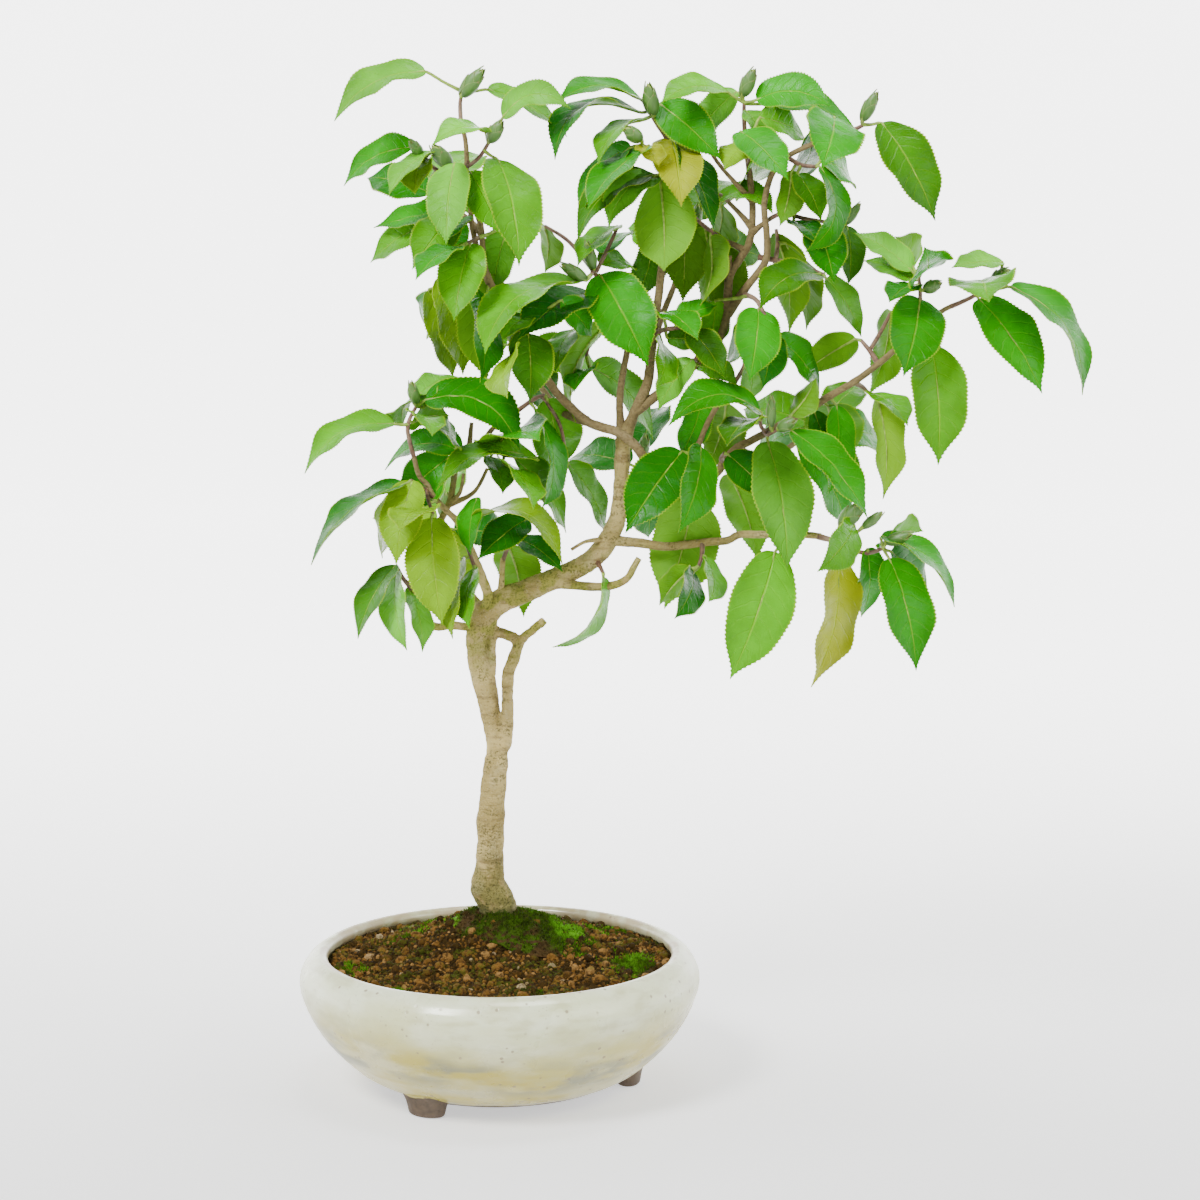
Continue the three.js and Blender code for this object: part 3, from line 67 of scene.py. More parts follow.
# The bowl's outline, closed: out along the base, up the outside, over the rim and down inside.
BOWL_OUTLINE = [
    (9, 5), (40, 5), (64, 5), (70, 5.6), (84, 12.2), (93, 19.3), (100, 26), (106, 33), (111, 40.5),
    (114.8, 47.5), (117.5, 54), (119.4, 59.6), (120, 64), (119.6, 69), (117.3, 74), (114.8, 77.6),
    (111.5, 80.3), (109, 81.6), (107.2, 81.9), (105.3, 81.7), (103.8, 80.6), (103, 78), (104, 75),
    (106.5, 73), (109.6, 69), (110.5, 64), (109.6, 58), (107.5, 53), (103.5, 44), (98, 36),
    (91.5, 28.5), (84, 22.5), (74, 18), (64, 15.5), (40, 14.6), (9, 14.5),
]
LIP_RADIUS = 0.1062

# Feet: half of one's outline, which way each stands from the axis and how much of it the glaze left bare.
FOOT_OUTLINE = [
    (0, 0.05), (6, 0.05), (10, 0.1), (11.4, 0.7), (12, 1.8), (12.8, 5), (14, 8.5), (16, 12), (17.5, 15),
    (0, 15.5),
]
FOOT_ANGLES = (-122, -2, 118)
FOOT_BARENESS = (1.0, 0.35, 0.6)
FOOT_WIDTH, FOOT_DEPTH, FOOT_CIRCLE = 24, 15, 77

# Soil: its height at the wall, the heap round the trunk, where the trunk stands, and the rings of
# its underside (radius, height). Beyond its reach it lies level.
SOIL_EDGE_HEIGHT, SOIL_EDGE_RADIUS, SOIL_REACH = 75, 103.6, 104
MOUND_HEIGHT, MOUND_RADIUS = 21, 52
TRUNK_FOOT = (-2.5, 30)
SOIL_WALL = [(40, 15.5), (83, 23.5), (97.2, 37), (106.6, 53.5), (108.8, 63), (106.5, 71)]
SOIL_SIDES = 96

# Where moss stands on the soil: its middle (across, back) and how far it reaches each way.
MOSS_PATCHES = [
    (12, 24, 34, 26), (34, 8, 24, 18), (80, -16, 15, 20), (-88, -20, 9, 13), (-54, -66, 9, 6),
    (62, 62, 16, 12), (-30, 62, 22, 14), (-60, 30, 10, 8), (20, -74, 9, 5),
]
# Cushions of moss: piece, node, middle, reach, thickness and sides.
MOSS_CUSHIONS = [
    ("moss_round_trunk", "moss_cushion", (12, 20), (42, 34), 5, 72),
    ("moss_by_rim", "moss_patch", (80, -16), (15, 20), 3.4, 48),
]
MOSS_RINGS = 24

# Leaf tones as seen in daylight: dark, middle, light, pale, olive, yellow and gold. Besides each leaf's own
# colour they hold painted light and shade: dark stands partly for painted shade, light partly for painted
# light, and pale for a painted sheen.
LEAF_TONES_WITH_PAINTED_LIGHT = {
    "D": (0.004, 0.125, 0.0005),
    "M": (0.014, 0.210, 0.0005),
    "L": (0.065, 0.280, 0.0005),
    "P": (0.090, 0.330, 0.015),
    "O": (0.024, 0.125, 0.0005),
    "Y": (0.140, 0.290, 0.0005),
    "G": (0.230, 0.265, 0.0003),
}
RIB_STEPS = 24
SWING = 8
SCALES_A_BUD = 9
SPIRAL_TURN = 2.4

# Height above the ground at which the trunk forks, in metres.
FORK_HEIGHT = 0.287

# Studio lights: name, place from the tree's middle, size and power.
LAMPS = [
    ("key_light", (-1.1, -1.4, 1.6), 0.7, 92),
    ("top_light", (0.2, 0.1, 1.9), 0.9, 36),
    ("side_light", (1.6, -0.9, 0.8), 1.0, 18),
]
STAGE_SIDES = 96

# Trunk and branches from root to tip: across, height, behind and radius in millimetres, as seen
# from the eye on the upright plane through the bowl's middle.
WOOD = {
    "trunk": [(-2, 66, 31, 10), (-1.6, 86, 31, 14), (-1.6, 100, 30, 12.3), (-1.6, 110, 29, 11.3),
     (-7, 120, 28, 11), (-6.2, 130, 27, 8.9), (-5.8, 140, 26, 8.4), (-5.2, 150, 25, 8.2),
     (-5.3, 160, 24, 8.6), (-4.5, 170, 23, 8), (-3.5, 180, 22, 7.9), (-2.5, 190, 21, 7.5),
     (-1.5, 197, 20, 7.3), (-1, 202, 20, 6.4), (-1.5, 210, 19, 6.2), (-4.2, 220, 18, 5.6),
     (-5.8, 230, 17, 6.3), (-7.4, 240, 16, 6.9), (-10, 250, 15, 7.3), (-12.3, 260, 14, 6.6),
     (-12.8, 270, 13, 6.7), (-10, 280, 12, 8.2), (-5, 289, 12, 7.4)],
    "bough": [(-10, 278, 12, 6), (-6, 286, 12, 7.6), (2, 293, 11, 7.4), (15, 298, 9, 7), (30, 304.5, 7, 6.3),
     (45, 311, 5, 6), (57, 319, 4, 6), (66, 331, 3, 5.8), (71, 345, 3, 5), (72.5, 360, 3, 4.7),
     (73, 380, 4, 4.5), (74, 393, 4, 4.2)],
    "second_stem": [(-1, 199, 20, 3.5), (3, 205, 18, 4), (5, 222, 14, 4), (5.3, 240, 12, 3.6),
     (6, 250, 12, 3.8), (9, 258, 11, 3.5), (11.5, 265, 11, 3.3), (13, 270, 11, 3.3)],
    "second_stem_arm": [(12, 268, 11, 3.3), (7, 272, 11, 3.3), (1, 273, 12, 3.5), (-2, 275, 13, 3.2),
     (-9, 277, 13, 3)],
    "cut_stub": [(12, 268, 11, 3), (20, 275, 10, 2.6), (27, 281, 9, 2.3)],
    "strip": [(-8, 244, 14, 2.4), (-4, 250, 11, 2.4), (-3.5, 262, 10, 2.4), (-3, 275, 10, 2.4),
     (-4, 286, 11, 2.4)],
    "grey_stem": [(73, 386, 4, 3), (71.8, 400, 5, 2.4), (71.5, 410, 6, 2.2), (72.3, 420, 8, 2.1),
     (74, 430, 10, 2), (76, 442, 11, 1.9), (75, 455, 12, 1.8), (70, 465, 12, 1.7), (62, 478, 12, 1.6)],
    "centre_stem": [(74, 388, 4, 3.8), (78.5, 400, 3, 3.3), (84, 412, 2, 3.2), (88, 422, 2, 3),
     (89.5, 435, 3, 2.7), (92, 455, 5, 2.5), (95, 480, 7, 2.4), (97, 505, 8, 2.2), (98.5, 535, 9, 2.1),
     (98.7, 549, 9, 2)],
    "right_fork": [(81, 405, 3, 2.8), (92, 413, 3, 2.9), (101, 420, 5, 2.7), (112, 429, 7, 2.6),
     (122, 437, 9, 2.6), (131, 450, 10, 2.5), (134.5, 465, 11, 2.5), (135, 482, 12, 2.4), (141, 493, 12, 2.3),
     (146, 501, 12, 2.2), (148, 512, 12, 2.1), (148, 527, 12, 2), (146, 545, 12, 1.8), (144, 560, 12, 1.6)],
    "right_fork_stub": [(134, 464, 11, 2.2), (134.8, 495, 12, 1.8)],
    "right_fork_twig_low": [(144, 498, 12, 1.8), (136, 502, 17, 1.5), (128, 505, 20, 1.3)],
    "right_fork_twig_mid": [(148, 511, 12, 1.8), (141, 519, 16, 1.5), (134, 526, 18, 1.3)],
    "right_fork_twig_out": [(148, 508, 12, 1.8), (154, 513, 9, 1.5), (160, 517, 6, 1.3)],
    "right_fork_twig_high": [(147.5, 527, 12, 1.7), (137, 538, 8, 1.4), (129, 547, 4, 1.2),
     (122, 557, 1, 1.1)],
    "second_upright": [(134, 461, 11, 2.4), (146, 478, 8, 2.3), (156, 492, 5, 2.2), (156.5, 508, 3, 2),
     (155, 525, 2, 1.9), (160, 543, 0, 1.8), (170, 553, -2, 1.6), (190, 562, -6, 1.4)],
    "cross_branch": [(72, 350, 3, 3.4), (80, 356, -2, 3.2), (86, 362, -6, 3.1), (88, 372, -9, 3),
     (84, 380, -10, 3), (78, 387, -10, 2.9), (70, 392.5, -9, 2.8), (60, 395.5, -8, 2.8), (52, 399, -8, 2.7),
     (44, 406, -9, 2.6), (36, 414, -10, 2.5), (28, 425, -11, 2.4), (18, 442, -12, 2.2), (6, 462, -12, 2.1),
     (-4, 480, -12, 2), (-7.5, 492, -12, 1.9), (-9, 512, -12, 1.8), (-13, 523, -12, 1.6),
     (-18, 534, -12, 1.6), (-17, 548, -12, 1.5), (-17.5, 560, -12, 1.4), (-20, 572, -12, 1.3)],
    "parallel_stem": [(-4, 479, -12, 1.9), (-11, 498, -7, 1.8), (-14.5, 515, -4, 1.7), (-16, 530, -2, 1.5),
     (-28, 540, 0, 1.4)],
    "left_twig": [(-8, 284, 12, 3.2), (-6, 295, 5, 3.1), (-9, 305, 1, 2.9), (-14, 318, -3, 2.6),
     (-19, 330, -7, 2.3), (-24, 340, -10, 2), (-31, 347, -12, 1.8), (-38, 355, -14, 1.7),
     (-41, 361, -15, 1.6), (-46, 367, -17, 1.5), (-49, 378, -19, 1.4)],
    "low_left": [(-10, 276, 13, 3), (-18, 277, 8, 2.6), (-28, 278, 4, 2.5), (-36, 277, 2, 2.4),
     (-42, 280, 0, 2.3), (-48, 286, -1, 2.2), (-50, 300, -2, 2.1), (-45, 325, 0, 2), (-34, 340, 4, 2),
     (-28, 352, 6, 2), (-26, 362, 7, 1.9), (-24, 372, 8, 1.8), (-16, 383, 9, 1.7), (-8, 388, 9, 1.6),
     (-2, 395, 9, 1.5), (13, 406, 10, 1.4)],
    "low_left_fork": [(-17, 379, 8.6, 1.5), (-15, 398, 12, 1.2)],
    "low_left_spur": [(-28, 351, 6, 1.5), (-22, 357, 3, 1.2), (-20, 368, 1, 1)],
    "low_left_inner": [(-28, 350, 6, 1.6), (-14, 357, 12, 1.3), (-6, 371, 16, 1.1)],
    "bough_spur": [(1, 291, 11, 2.2), (2, 305, 9, 1.8), (3, 318, 8, 1.5)],
    "low_short": [(33, 304, 7, 3.2), (45, 302, 0, 2.8), (58, 301, -4, 2.6), (68, 302, -6, 2.4),
     (76, 306, -8, 2.2), (80, 313, -9, 2), (83, 318, -9, 1.8)],
    "dead_twig": [(64, 329, 3, 1.6), (52, 328, -7, 1.1), (43, 323, -9, 1)],
    "low_right": [(65, 329, 3, 3.3), (72, 328, 2, 3.2), (84, 327, 0, 2.9), (100, 325, -2, 2.6),
     (122, 327.5, -6, 2.4), (135, 328.5, -8, 2.3), (142, 332, -9, 2.3), (155, 332, -10, 2.2),
     (177, 332, -12, 2), (190, 331, -13, 1.9)],
    "mid_right": [(71, 347, 3, 3.3), (90, 350, 5, 2.9), (110, 357, 8, 2.7), (128, 368, 9, 2.5),
     (133, 376, 9, 2.5), (140, 383, 8, 2.4), (148, 387, 7, 2.4), (157, 392, 5, 2.3), (175, 402, 2, 2.2),
     (195, 414, -1, 2.2), (210, 423, -4, 2.1), (228, 437, -6, 1.8), (245, 453, -8, 1.6), (259, 463, -9, 1.5),
     (265, 466, -10, 1.4)],
    "mid_right_spur": [(244, 452, -8, 1.5), (246, 460, -12, 1.4)],
    "mid_right_twig": [(110, 356, 8, 2), (116, 380, 4, 1.8), (125, 402, -1, 1.7), (136, 417, -6, 1.5)],
    "back_low": [(-6, 284, 13, 3), (-16, 296, 34, 2.4), (-26, 316, 56, 2), (-30, 332, 72, 1.6)],
    "back_bough": [(58, 320, 5, 3.2), (66, 332, 28, 2.6), (74, 350, 48, 2.1), (80, 366, 64, 1.7)],
    "back_middle": [(52, 399, -7, 2.4), (38, 404, 18, 2.1), (26, 418, 42, 1.8), (14, 436, 60, 1.5)],
    "back_centre": [(91, 446, 4, 2.3), (96, 460, 28, 2), (104, 480, 50, 1.7), (110, 498, 62, 1.5)],
    "back_right": [(140, 383, 8, 2.3), (152, 378, 32, 2), (168, 382, 54, 1.7), (182, 392, 68, 1.5)],
    "back_high": [(-9, 508, -11, 1.8), (-14, 514, 12, 1.6), (-24, 522, 34, 1.4), (-30, 526, 46, 1.3)],
}
# Branches that are thick enough to fuse with the trunk.
FUSED = ("trunk", "bough", "second_stem", "second_stem_arm", "cut_stub", "strip")

# Sprays: their twigs, leaves and buds. Twigs are routes like the wood's. A leaf: its blade's foot and
# tip (across, height), how far its tip lies behind its foot, the width seen and its look, whose first
# letter is the tone, painted light and shade included, and whose second is the side seen (Top, Under).
# Where they are needed, how many steps its tip swings back to be clear of others and, for an arched
# blade, a point halfway along.
# A bud: its foot, tip and width.
SPRAYS = {
    "left_crown": (
        [[(-20, 570, -12, 1.4), (-20.5, 582, -12, 1.2), (-19, 589, -12, 1)]],
        [(-40, 600, -93, 572, -10, 14, "PT", 0, -62, 604), (-5, 590, 41, 563, 12, 10, "LT")],
        [(-20, 586, -6, 603, 10)]),
    "left_inner": (
        [[(-17.5, 540, -12, 1.6), (-18, 545, -19, 1.3), (-16, 549, -26, 1.1)],
         [(-18, 545, -19, 1.3), (-10, 551, -18, 1.2), (-4, 560, -17, 1.1)]],
        [(4, 574, 43, 579, -18, 14, "PT", 2, 23, 592), (-6, 566, -37, 558, -30, 10, "PT", 0, -14, 573),
         (-24, 548, -29, 501, -22, 24, "PT"), (-15, 543, 3, 506, -34, 24, "LT", 2),
         (1, 550, 13, 489, -8, 31, "LT", -4)],
        [(-4, 560, 4, 573, 9)]),
    "left_tip": (
        [[(-26, 539, 0, 1.5), (-40, 548, 4, 1.3), (-44, 552, 5, 1.1)]],
        [(-48, 557, -88, 535, 14, 14, "MT", 0, -69, 558), (-37, 555, -62, 530, -28, 10, "PT"),
         (-43, 550, -47, 530, -38, 17, "YT", 2)],
        [(-26, 546, -38, 559, 10), (-43, 552, -50, 562, 7)]),
    "left_high": (
        [[(-14.5, 514, -5, 1.6), (-22, 518, 0, 1.3), (-34, 515, 4, 1.1)]],
        [(-20, 520, -71, 511, 12, 14, "MT", 0, -45, 523), (-35, 515, -73, 491, 16, 16, "LT"),
         (-27, 515, -49, 487, -34, 24, "LT"), (-19, 517, -30, 502, -40, 14, "MT", 2)],
        []),
    "left_middle": (
        [[(-8.5, 506, -12, 1.6), (-13, 504, -20, 1.3), (-17, 502, -26, 1.1)]],
        [(-15, 502, -25, 457, -24, 26, "LT"), (-22, 500, -47, 481, -34, 12, "MT"),
         (7, 513, -2, 474, 14, 20, "PT")],
        []),
    "left_low": (
        [[(-5, 483, -12, 1.7), (-12, 484, -4, 1.4), (-26, 482, 6, 1.3), (-34, 478, 14, 1.1)]],
        [(-33, 483, -20, 426, 10, 24, "YT"), (-4, 484, -6, 421, 22, 30, "OU"),
         (-12, 476, -10, 421, -30, 18, "MT"), (-35, 470, -39, 451, 42, 11, "MT"),
         (-40, 475, -26, 424, 12, 22, "YT")],
        []),
    "centre_left": (
        [[(63, 476, 12, 1.6), (58, 483, 8, 1.4), (56, 486, 0, 1.3), (55, 484, -10, 1.1)],
         [(57, 484, 7, 1.3), (64, 498, 14, 1.2), (70, 511, 16, 1)],
         [(56, 486, 2, 1.3), (42, 503, 20, 1.2), (28, 512, 26, 1)]],
        [(47, 480, -7, 438, -20, 18, "LT", -4, 20, 485), (54, 474, 12, 446, -30, 24, "DT", -2),
         (60, 484, 88, 431, -26, 36, "MT"), (70, 512, 47, 489, -32, 12, "LT"),
         (28, 512, 28, 485, 30, 14, "OU"), (62, 496, 78, 508, 36, 10, "MT"),
         (60, 490, 80, 488, 40, 10, "LT", -1)],
        [(56, 487, 52, 504, 8), (52, 481, 36, 491, 8)]),
    "cross_low": (
        [[(18.5, 441, -12, 1.6), (18, 450, -18, 1.3), (17, 457, -22, 1.1)],
         [(18.5, 448, -16, 1.3), (13, 447, -23, 1.1), (11, 442, -28, 1)]],
        [(18, 450, 19, 410, -30, 26, "OT"), (10, 439, 6, 412, -40, 14, "YT", -1),
         (18, 460, 3, 446, -44, 14, "LT", 3), (37, 469, 55, 448, 16, 16, "MT")],
        []),
    "grey_stem": (
        [[(75, 452, 12, 1.6), (66, 458, 15, 1.3), (56, 450, 20, 1.2), (52, 436, 22, 1)]],
        [(44, 452, 34, 427, -44, 16, "LT", 1), (64, 456, 46, 398, -8, 12, "PU", -2, 40, 427),
         (55, 430, 91, 388, 22, 18, "PT", 0, 75, 426), (54, 429, 45, 416, -46, 12, "MT", 1)],
        []),
    "left_arm": (
        [[(-48.5, 376, -18.5, 1.5), (-52, 390, -21, 1.3), (-52, 398, -22, 1.2), (-47, 408, -22, 1)]],
        [(-42, 411, 13, 382, -14, 24, "DT", -1, -15, 423), (-47, 402, -38, 390, -42, 13, "PT"),
         (-60, 397, -113, 368, -8, 13, "LT", 0, -85, 401), (-46, 414, -21, 424, 34, 10, "PT"),
         (-50, 411, -55, 396, 44, 12, "MU"), (-42, 407, -36, 420, 44, 10, "PT", -4),
         (-50, 398, -28, 402, 44, 14, "MU", -2)],
        [(-47, 409, -51, 423, 7)]),
    "left_side": (
        [[(-38, 354.5, -14, 1.7), (-46, 361, -19, 1.3), (-51, 364, -23, 1.1)],
         [(-42, 358, -17, 1.3), (-40, 350, -23, 1.2), (-38, 344, -26, 1)]],
        [(-54, 362, -110, 314, -12, 9, "DT", 0, -86, 351), (-50, 364, -60, 314, -20, 24, "YT"),
         (-39, 342, -33, 278, -14, 31, "YT"), (-42, 346, -58, 334, -44, 15, "YT", -1),
         (-55, 355, -68, 318, 30, 12, "YT"), (-36, 352, -52, 345, 50, 14, "MT", 4)],
        []),
    "left_bottom": (
        [[(-50, 299, -2, 1.8), (-56, 306, -6, 1.4), (-59, 312, -8, 1.2)]],
        [(-60, 314, -83, 270, -20, 14, "OT"), (-60, 310, -54, 263, -22, 15, "PT"),
         (-53, 300, -45, 262, 22, 13, "PT", -5)],
        []),
    "trunk_side": (
        [[(-19.5, 331, -7, 1.7), (-19, 338, -14, 1.4), (-14, 349, -18, 1.1)],
         [(-19, 337, -13, 1.4), (-18, 326, -17, 1.3), (-14, 313, -19, 1.1)]],
        [(-14, 342, 38, 314, -22, 12, "YT", 0, 2, 357), (-12, 354, -16, 320, -34, 13, "MT", 3),
         (-14, 312, -17, 276, -26, 13, "LT"), (-21, 318, -27, 270, 14, 14, "YT", -5)],
        []),
    "bough_spur": (
        [[(3, 317, 8, 1.5), (7, 328, 6, 1.3), (10, 335, 2, 1)]],
        [(11, 330, 38, 310, -18, 14, "DT"), (6, 326, 15, 283, 30, 26, "LU"),
         (17, 341, -12, 317, -28, 20, "DT")],
        []),
    "low_left_bend": (
        [[(-24, 371, 8, 1.8), (-25, 377, 0, 1.4), (-24, 381, -7, 1.1)]],
        [(-22, 381, -66, 370, 22, 12, "MT", 0, -41, 391), (-28, 378, -58, 352, -26, 24, "MT", 4),
         (-24, 386, -37, 396, -48, 10, "PT", 3)],
        []),
    "low_left_top": (
        [[(-8, 388, 9, 1.6), (-3, 383, 2, 1.4), (4, 379, -4, 1.3), (14, 378, -10, 1.2), (22, 377, -14, 1)]],
        [(24, 376, -36, 358, -14, 12, "LT", 0, -5, 386), (3, 375, 21, 347, -34, 12, "LT", -2),
         (-4, 378, 3, 356, -50, 14, "LT", 4), (10, 377, 40, 333, 14, 15, "PT", 1),
         (0, 385, 25, 387, -50, 10, "MT", -3)],
        []),
    "low_left_tip": (
        [[(12, 405, 10, 1.5), (22, 412, 9, 1.3), (28, 414, 8, 1.1)],
         [(26, 413.5, 8, 1.2), (36, 398, 15, 1.1), (40, 380, 20, 1)]],
        [(29, 412, 37, 372, 28, 30, "LT", 1), (22, 406, 26, 348, -12, 11, "MT", -2, 36, 374),
         (41, 374, 63, 331, 12, 13, "LT", 1)],
        []),
    "under_bough": (
        [[(58, 317, 3, 1.8), (60, 313, -5, 1.4), (62, 309, -10, 1.1)]],
        [(62, 307, 32, 265, -8, 6, "PT", 0, 61, 283)],
        []),
    "crown_centre": (
        [[(98.7, 547, 9, 1.9), (99, 560, 9, 1.5), (93, 570, 6, 1.3), (88, 578, 4, 1.1)],
         [(99, 558, 9, 1.5), (99, 568, 13, 1.3), (96, 578, 15, 1.1)]],
        [(84, 584, 34, 582, -20, 8, "MT", 0, 59, 595), (83, 577, 34, 550, -12, 7, "DT", -2, 57, 587),
         (86, 573, 59, 547, -30, 9, "LT", 0, 69, 571), (94, 582, 130, 550, -14, 25, "MT", -1),
         (104, 563, 126, 509, -40, 16, "DT", 2, 120, 540), (101, 562, 107, 523, -42, 28, "GT"),
         (99, 560, 92, 536, 44, 14, "PU")],
        [(91, 575, 87, 595, 10)]),
    "crown_side": (
        [[(98.6, 543, 9, 1.9), (93, 551, -3, 1.4), (84, 559, -17, 1.1)]],
        [(88, 558, 53, 522, -20, 14, "MT", -2, 69, 551), (84, 558, 94, 546, -50, 12, "GT", 5),
         (78, 557, 49, 513, 20, 10, "MT", -2, 55, 541)],
        [(84, 561, 73, 569, 9)]),
    "crown_low": (
        [[(98.4, 531, 9, 1.9), (97, 538, 0, 1.4), (95, 542, -8, 1.1)]],
        [(94, 540, 65, 511, -22, 17, "PT", 0, 76, 541), (95, 538, 97, 486, -30, 35, "PU"),
         (90, 541, 47, 503, -10, 14, "OT", 0, 63, 537)],
        []),
    "right_crown": (
        [[(144.2, 557, 12, 1.6), (143, 573, 12, 1.3), (143, 583, 11, 1.1)]],
        [(134, 588, 95, 582, -26, 12, "LT", 0, 113, 596), (150, 584, 193, 580, -16, 20, "MT", 0, 173, 596),
         (144, 578, 154, 562, -46, 12, "PT", 5), (139, 589, 111, 557, 12, 18, "PT"),
         (159, 582, 209, 564, 14, 12, "MT", 0, 184, 585)],
        [(142, 586, 149, 603, 9)]),
    "right_upper": (
        [[(145.7, 547, 12, 1.8), (148, 555, 4, 1.3), (146, 563, -3, 1.1)]],
        [(141, 566, 169, 538, -34, 22, "MT"), (152, 574, 178, 562, 30, 14, "LT"),
         (143, 558, 132, 544, -48, 15, "YT", 5), (150, 553, 141, 534, 44, 14, "LT", 2)],
        []),
    "right_arm_tip": (
        [[(188, 561.5, -6, 1.5), (206, 567, -8, 1.3), (212, 570, -9, 1.1)]],
        [(222, 571, 254, 515, -14, 27, "OT"), (195, 574, 188, 545, -50, 34, "MT"),
         (182, 567, 166, 535, 26, 16, "DT", 5)],
        [(211, 572, 220, 590, 8)]),
    "right_inner": (
        [[(135, 525.5, 18, 1.4), (129, 530, 18, 1.2), (125, 529, 17, 1)]],
        [(128, 527, 160, 519, -6, 11, "LT", -1, 143, 536), (130, 525, 124, 496, 16, 18, "OU", 3)],
        []),
    "right_arm": (
        [[(168, 551.5, -2, 1.6), (176, 547, -9, 1.3), (185, 546, -12, 1.1)]],
        [(187, 546, 179, 497, -14, 13, "MT", 0, 201, 521), (174, 542, 188, 515, -38, 16, "OT", 3),
         (171, 544, 164, 512, 36, 16, "DU", -5), (187, 549, 205, 536, 46, 12, "MT")],
        []),
    "right_spur": (
        [[(158, 516, 7, 1.4), (166, 519, 6, 1.3), (180, 516, 8, 1.2), (200, 513, 9, 1)]],
        [(186, 511, 196, 479, -34, 24, "DT"), (203, 512, 204, 478, -28, 15, "OT", 3),
         (172, 515, 187, 500, -44, 12, "DT", 2)],
        [(202, 513, 211, 526, 6)]),
    "centre_back": (
        [[(130, 504.5, 19, 1.5), (118, 514, 26, 1.3), (109, 522, 30, 1.1)]],
        [(108, 520, 108, 468, 10, 26, "OU", -1), (121, 511, 122, 460, 24, 24, "OU"),
         (134, 500, 130, 458, 8, 24, "OU", -2), (124, 506, 118, 466, -16, 13, "OU", -3),
         (92, 510, 80, 468, 14, 20, "OT")],
        []),
    "centre_stem": (
        [[(91.5, 450, 4.5, 1.9), (97, 452, -3, 1.5), (103, 453, -9, 1.3), (110, 454, -10, 1.1)]],
        [(97, 462, 117, 446, -38, 14, "MT"), (104, 456, 128, 466, -36, 13, "MT", 5),
         (99, 447, 122, 444, 34, 15, "OT", -4), (113, 452, 133, 424, -20, 18, "OT"),
         (96, 445, 93, 418, -36, 14, "LT")],
        []),
    "right_middle": (
        [[(152, 494, 6, 1.8), (168, 491, 10, 1.5), (182, 487, 9, 1.3), (190, 484, 6, 1.1)],
         [(162, 493, 7, 1.4), (163, 503, 18, 1.2), (162, 510, 22, 1.1)]],
        [(188, 484, 153, 464, -36, 20, "OT", 0, 168, 490), (191, 482, 212, 448, -14, 14, "PT", 3),
         (162, 508, 170, 450, 10, 20, "OU"), (168, 502, 180, 452, 34, 16, "OU")],
        []),
    "right_front": (
        [[(143, 473, 8.5, 1.8), (150, 470, 0, 1.4), (154, 464, -8, 1.3), (160, 451, -12, 1)]],
        [(152, 464, 147, 422, -30, 27, "MT"), (160, 450, 155, 418, -32, 20, "DT", 2),
         (157, 456, 134, 432, 34, 14, "MT"), (163, 447, 188, 415, 30, 14, "MT"),
         (127, 469, 122, 439, 14, 18, "LT")],
        []),
    "fork_twig": (
        [[(135, 415.5, -5.5, 1.6), (144, 431, -10, 1.3), (143, 438, -14, 1.1)]],
        [(147, 436, 145, 408, 26, 14, "PT"), (134, 410, 122, 368, 38, 28, "OU"),
         (120, 414, 107, 378, 12, 18, "MT")],
        [(143, 439, 141, 452, 7)]),
    "fork_low": (
        [[(113, 430, 7, 1.8), (115, 433, -1, 1.3), (116, 436, -7, 1.1)]],
        [(114, 435, 94, 405, -32, 16, "PT", 4), (118, 431, 140, 420, -44, 12, "LT", 4)],
        []),
    "bough_front": (
        [[(112.5, 367, 6, 1.8), (113, 376, -3, 1.5), (115, 384, -11, 1.2)],
         [(113, 373, 0, 1.5), (118, 364, -4, 1.3), (117, 357, -7, 1.1)]],
        [(108, 381, 75, 333, -26, 32, "DT"), (119, 384, 106, 333, -34, 22, "MT"),
         (115, 353, 98, 288, 36, 40, "PU", -4)],
        []),
    "low_right_hang": (
        [[(120, 327.5, -6, 1.8), (120, 320, -11, 1.3), (118, 313, -14, 1.1)]],
        [(115, 310, 104, 282, -36, 16, "DT"), (122, 319, 124, 292, -20, 12, "PT", -1, 131, 306),
         (114, 312, 95, 290, 34, 14, "LU", -5)],
        []),
    "right_bend": (
        [[(157, 392, 5, 2), (158, 391, -4, 1.5), (160, 392, -12, 1.3), (168, 396, -15, 1.1)],
         [(158, 391, -5, 1.3), (154, 396, -12, 1.2), (154, 402, -19, 1)]],
        [(158, 387, 170, 311, -16, 34, "PT", -1), (172, 393, 217, 342, -20, 20, "MT"),
         (154, 404, 100, 396, -24, 16, "MT", 1, 130, 420), (151, 400, 134, 384, -44, 14, "OT"),
         (172, 402, 186, 424, 40, 14, "OU", -5)],
        [(160, 395, 160, 415, 6), (164, 394, 175, 400, 8)]),
    "right_hang": (
        [[(196, 414.5, -1, 1.8), (192, 412, 7, 1.4), (189, 409, 10, 1.1)]],
        [(193, 408, 200, 372, 36, 34, "MU"), (185, 405, 192, 366, -32, 16, "MT", 3),
         (198, 408, 194, 356, 6, 18, "MT", -1)],
        []),
    "right_under": (
        [[(132.5, 375, 9, 2), (131, 377, 1, 1.5), (133, 380, -5, 1.2)]],
        [(135, 379, 160, 355, -38, 22, "DT", 4), (136, 368, 153, 316, 16, 26, "PU")],
        []),
    "low_right_front": (
        [[(165, 332, -11, 1.8), (167, 330, -18, 1.4), (167, 326, -22, 1.2)]],
        [(163, 322, 137, 246, -24, 37, "LT", 2)],
        []),
    "low_right_tip": (
        [[(188, 331, -13, 2), (197, 329, -15, 1.6), (205, 332, -18, 1.3), (212, 334, -20, 1.1)],
         [(195.5, 329.4, -14.6, 1.4), (206, 324, -12, 1.4), (217, 321, -8, 1.3), (227, 324, -11, 1.1)]],
        [(200, 321, 185, 241, -14, 22, "GT"), (209, 338, 188, 310, -36, 20, "LT"),
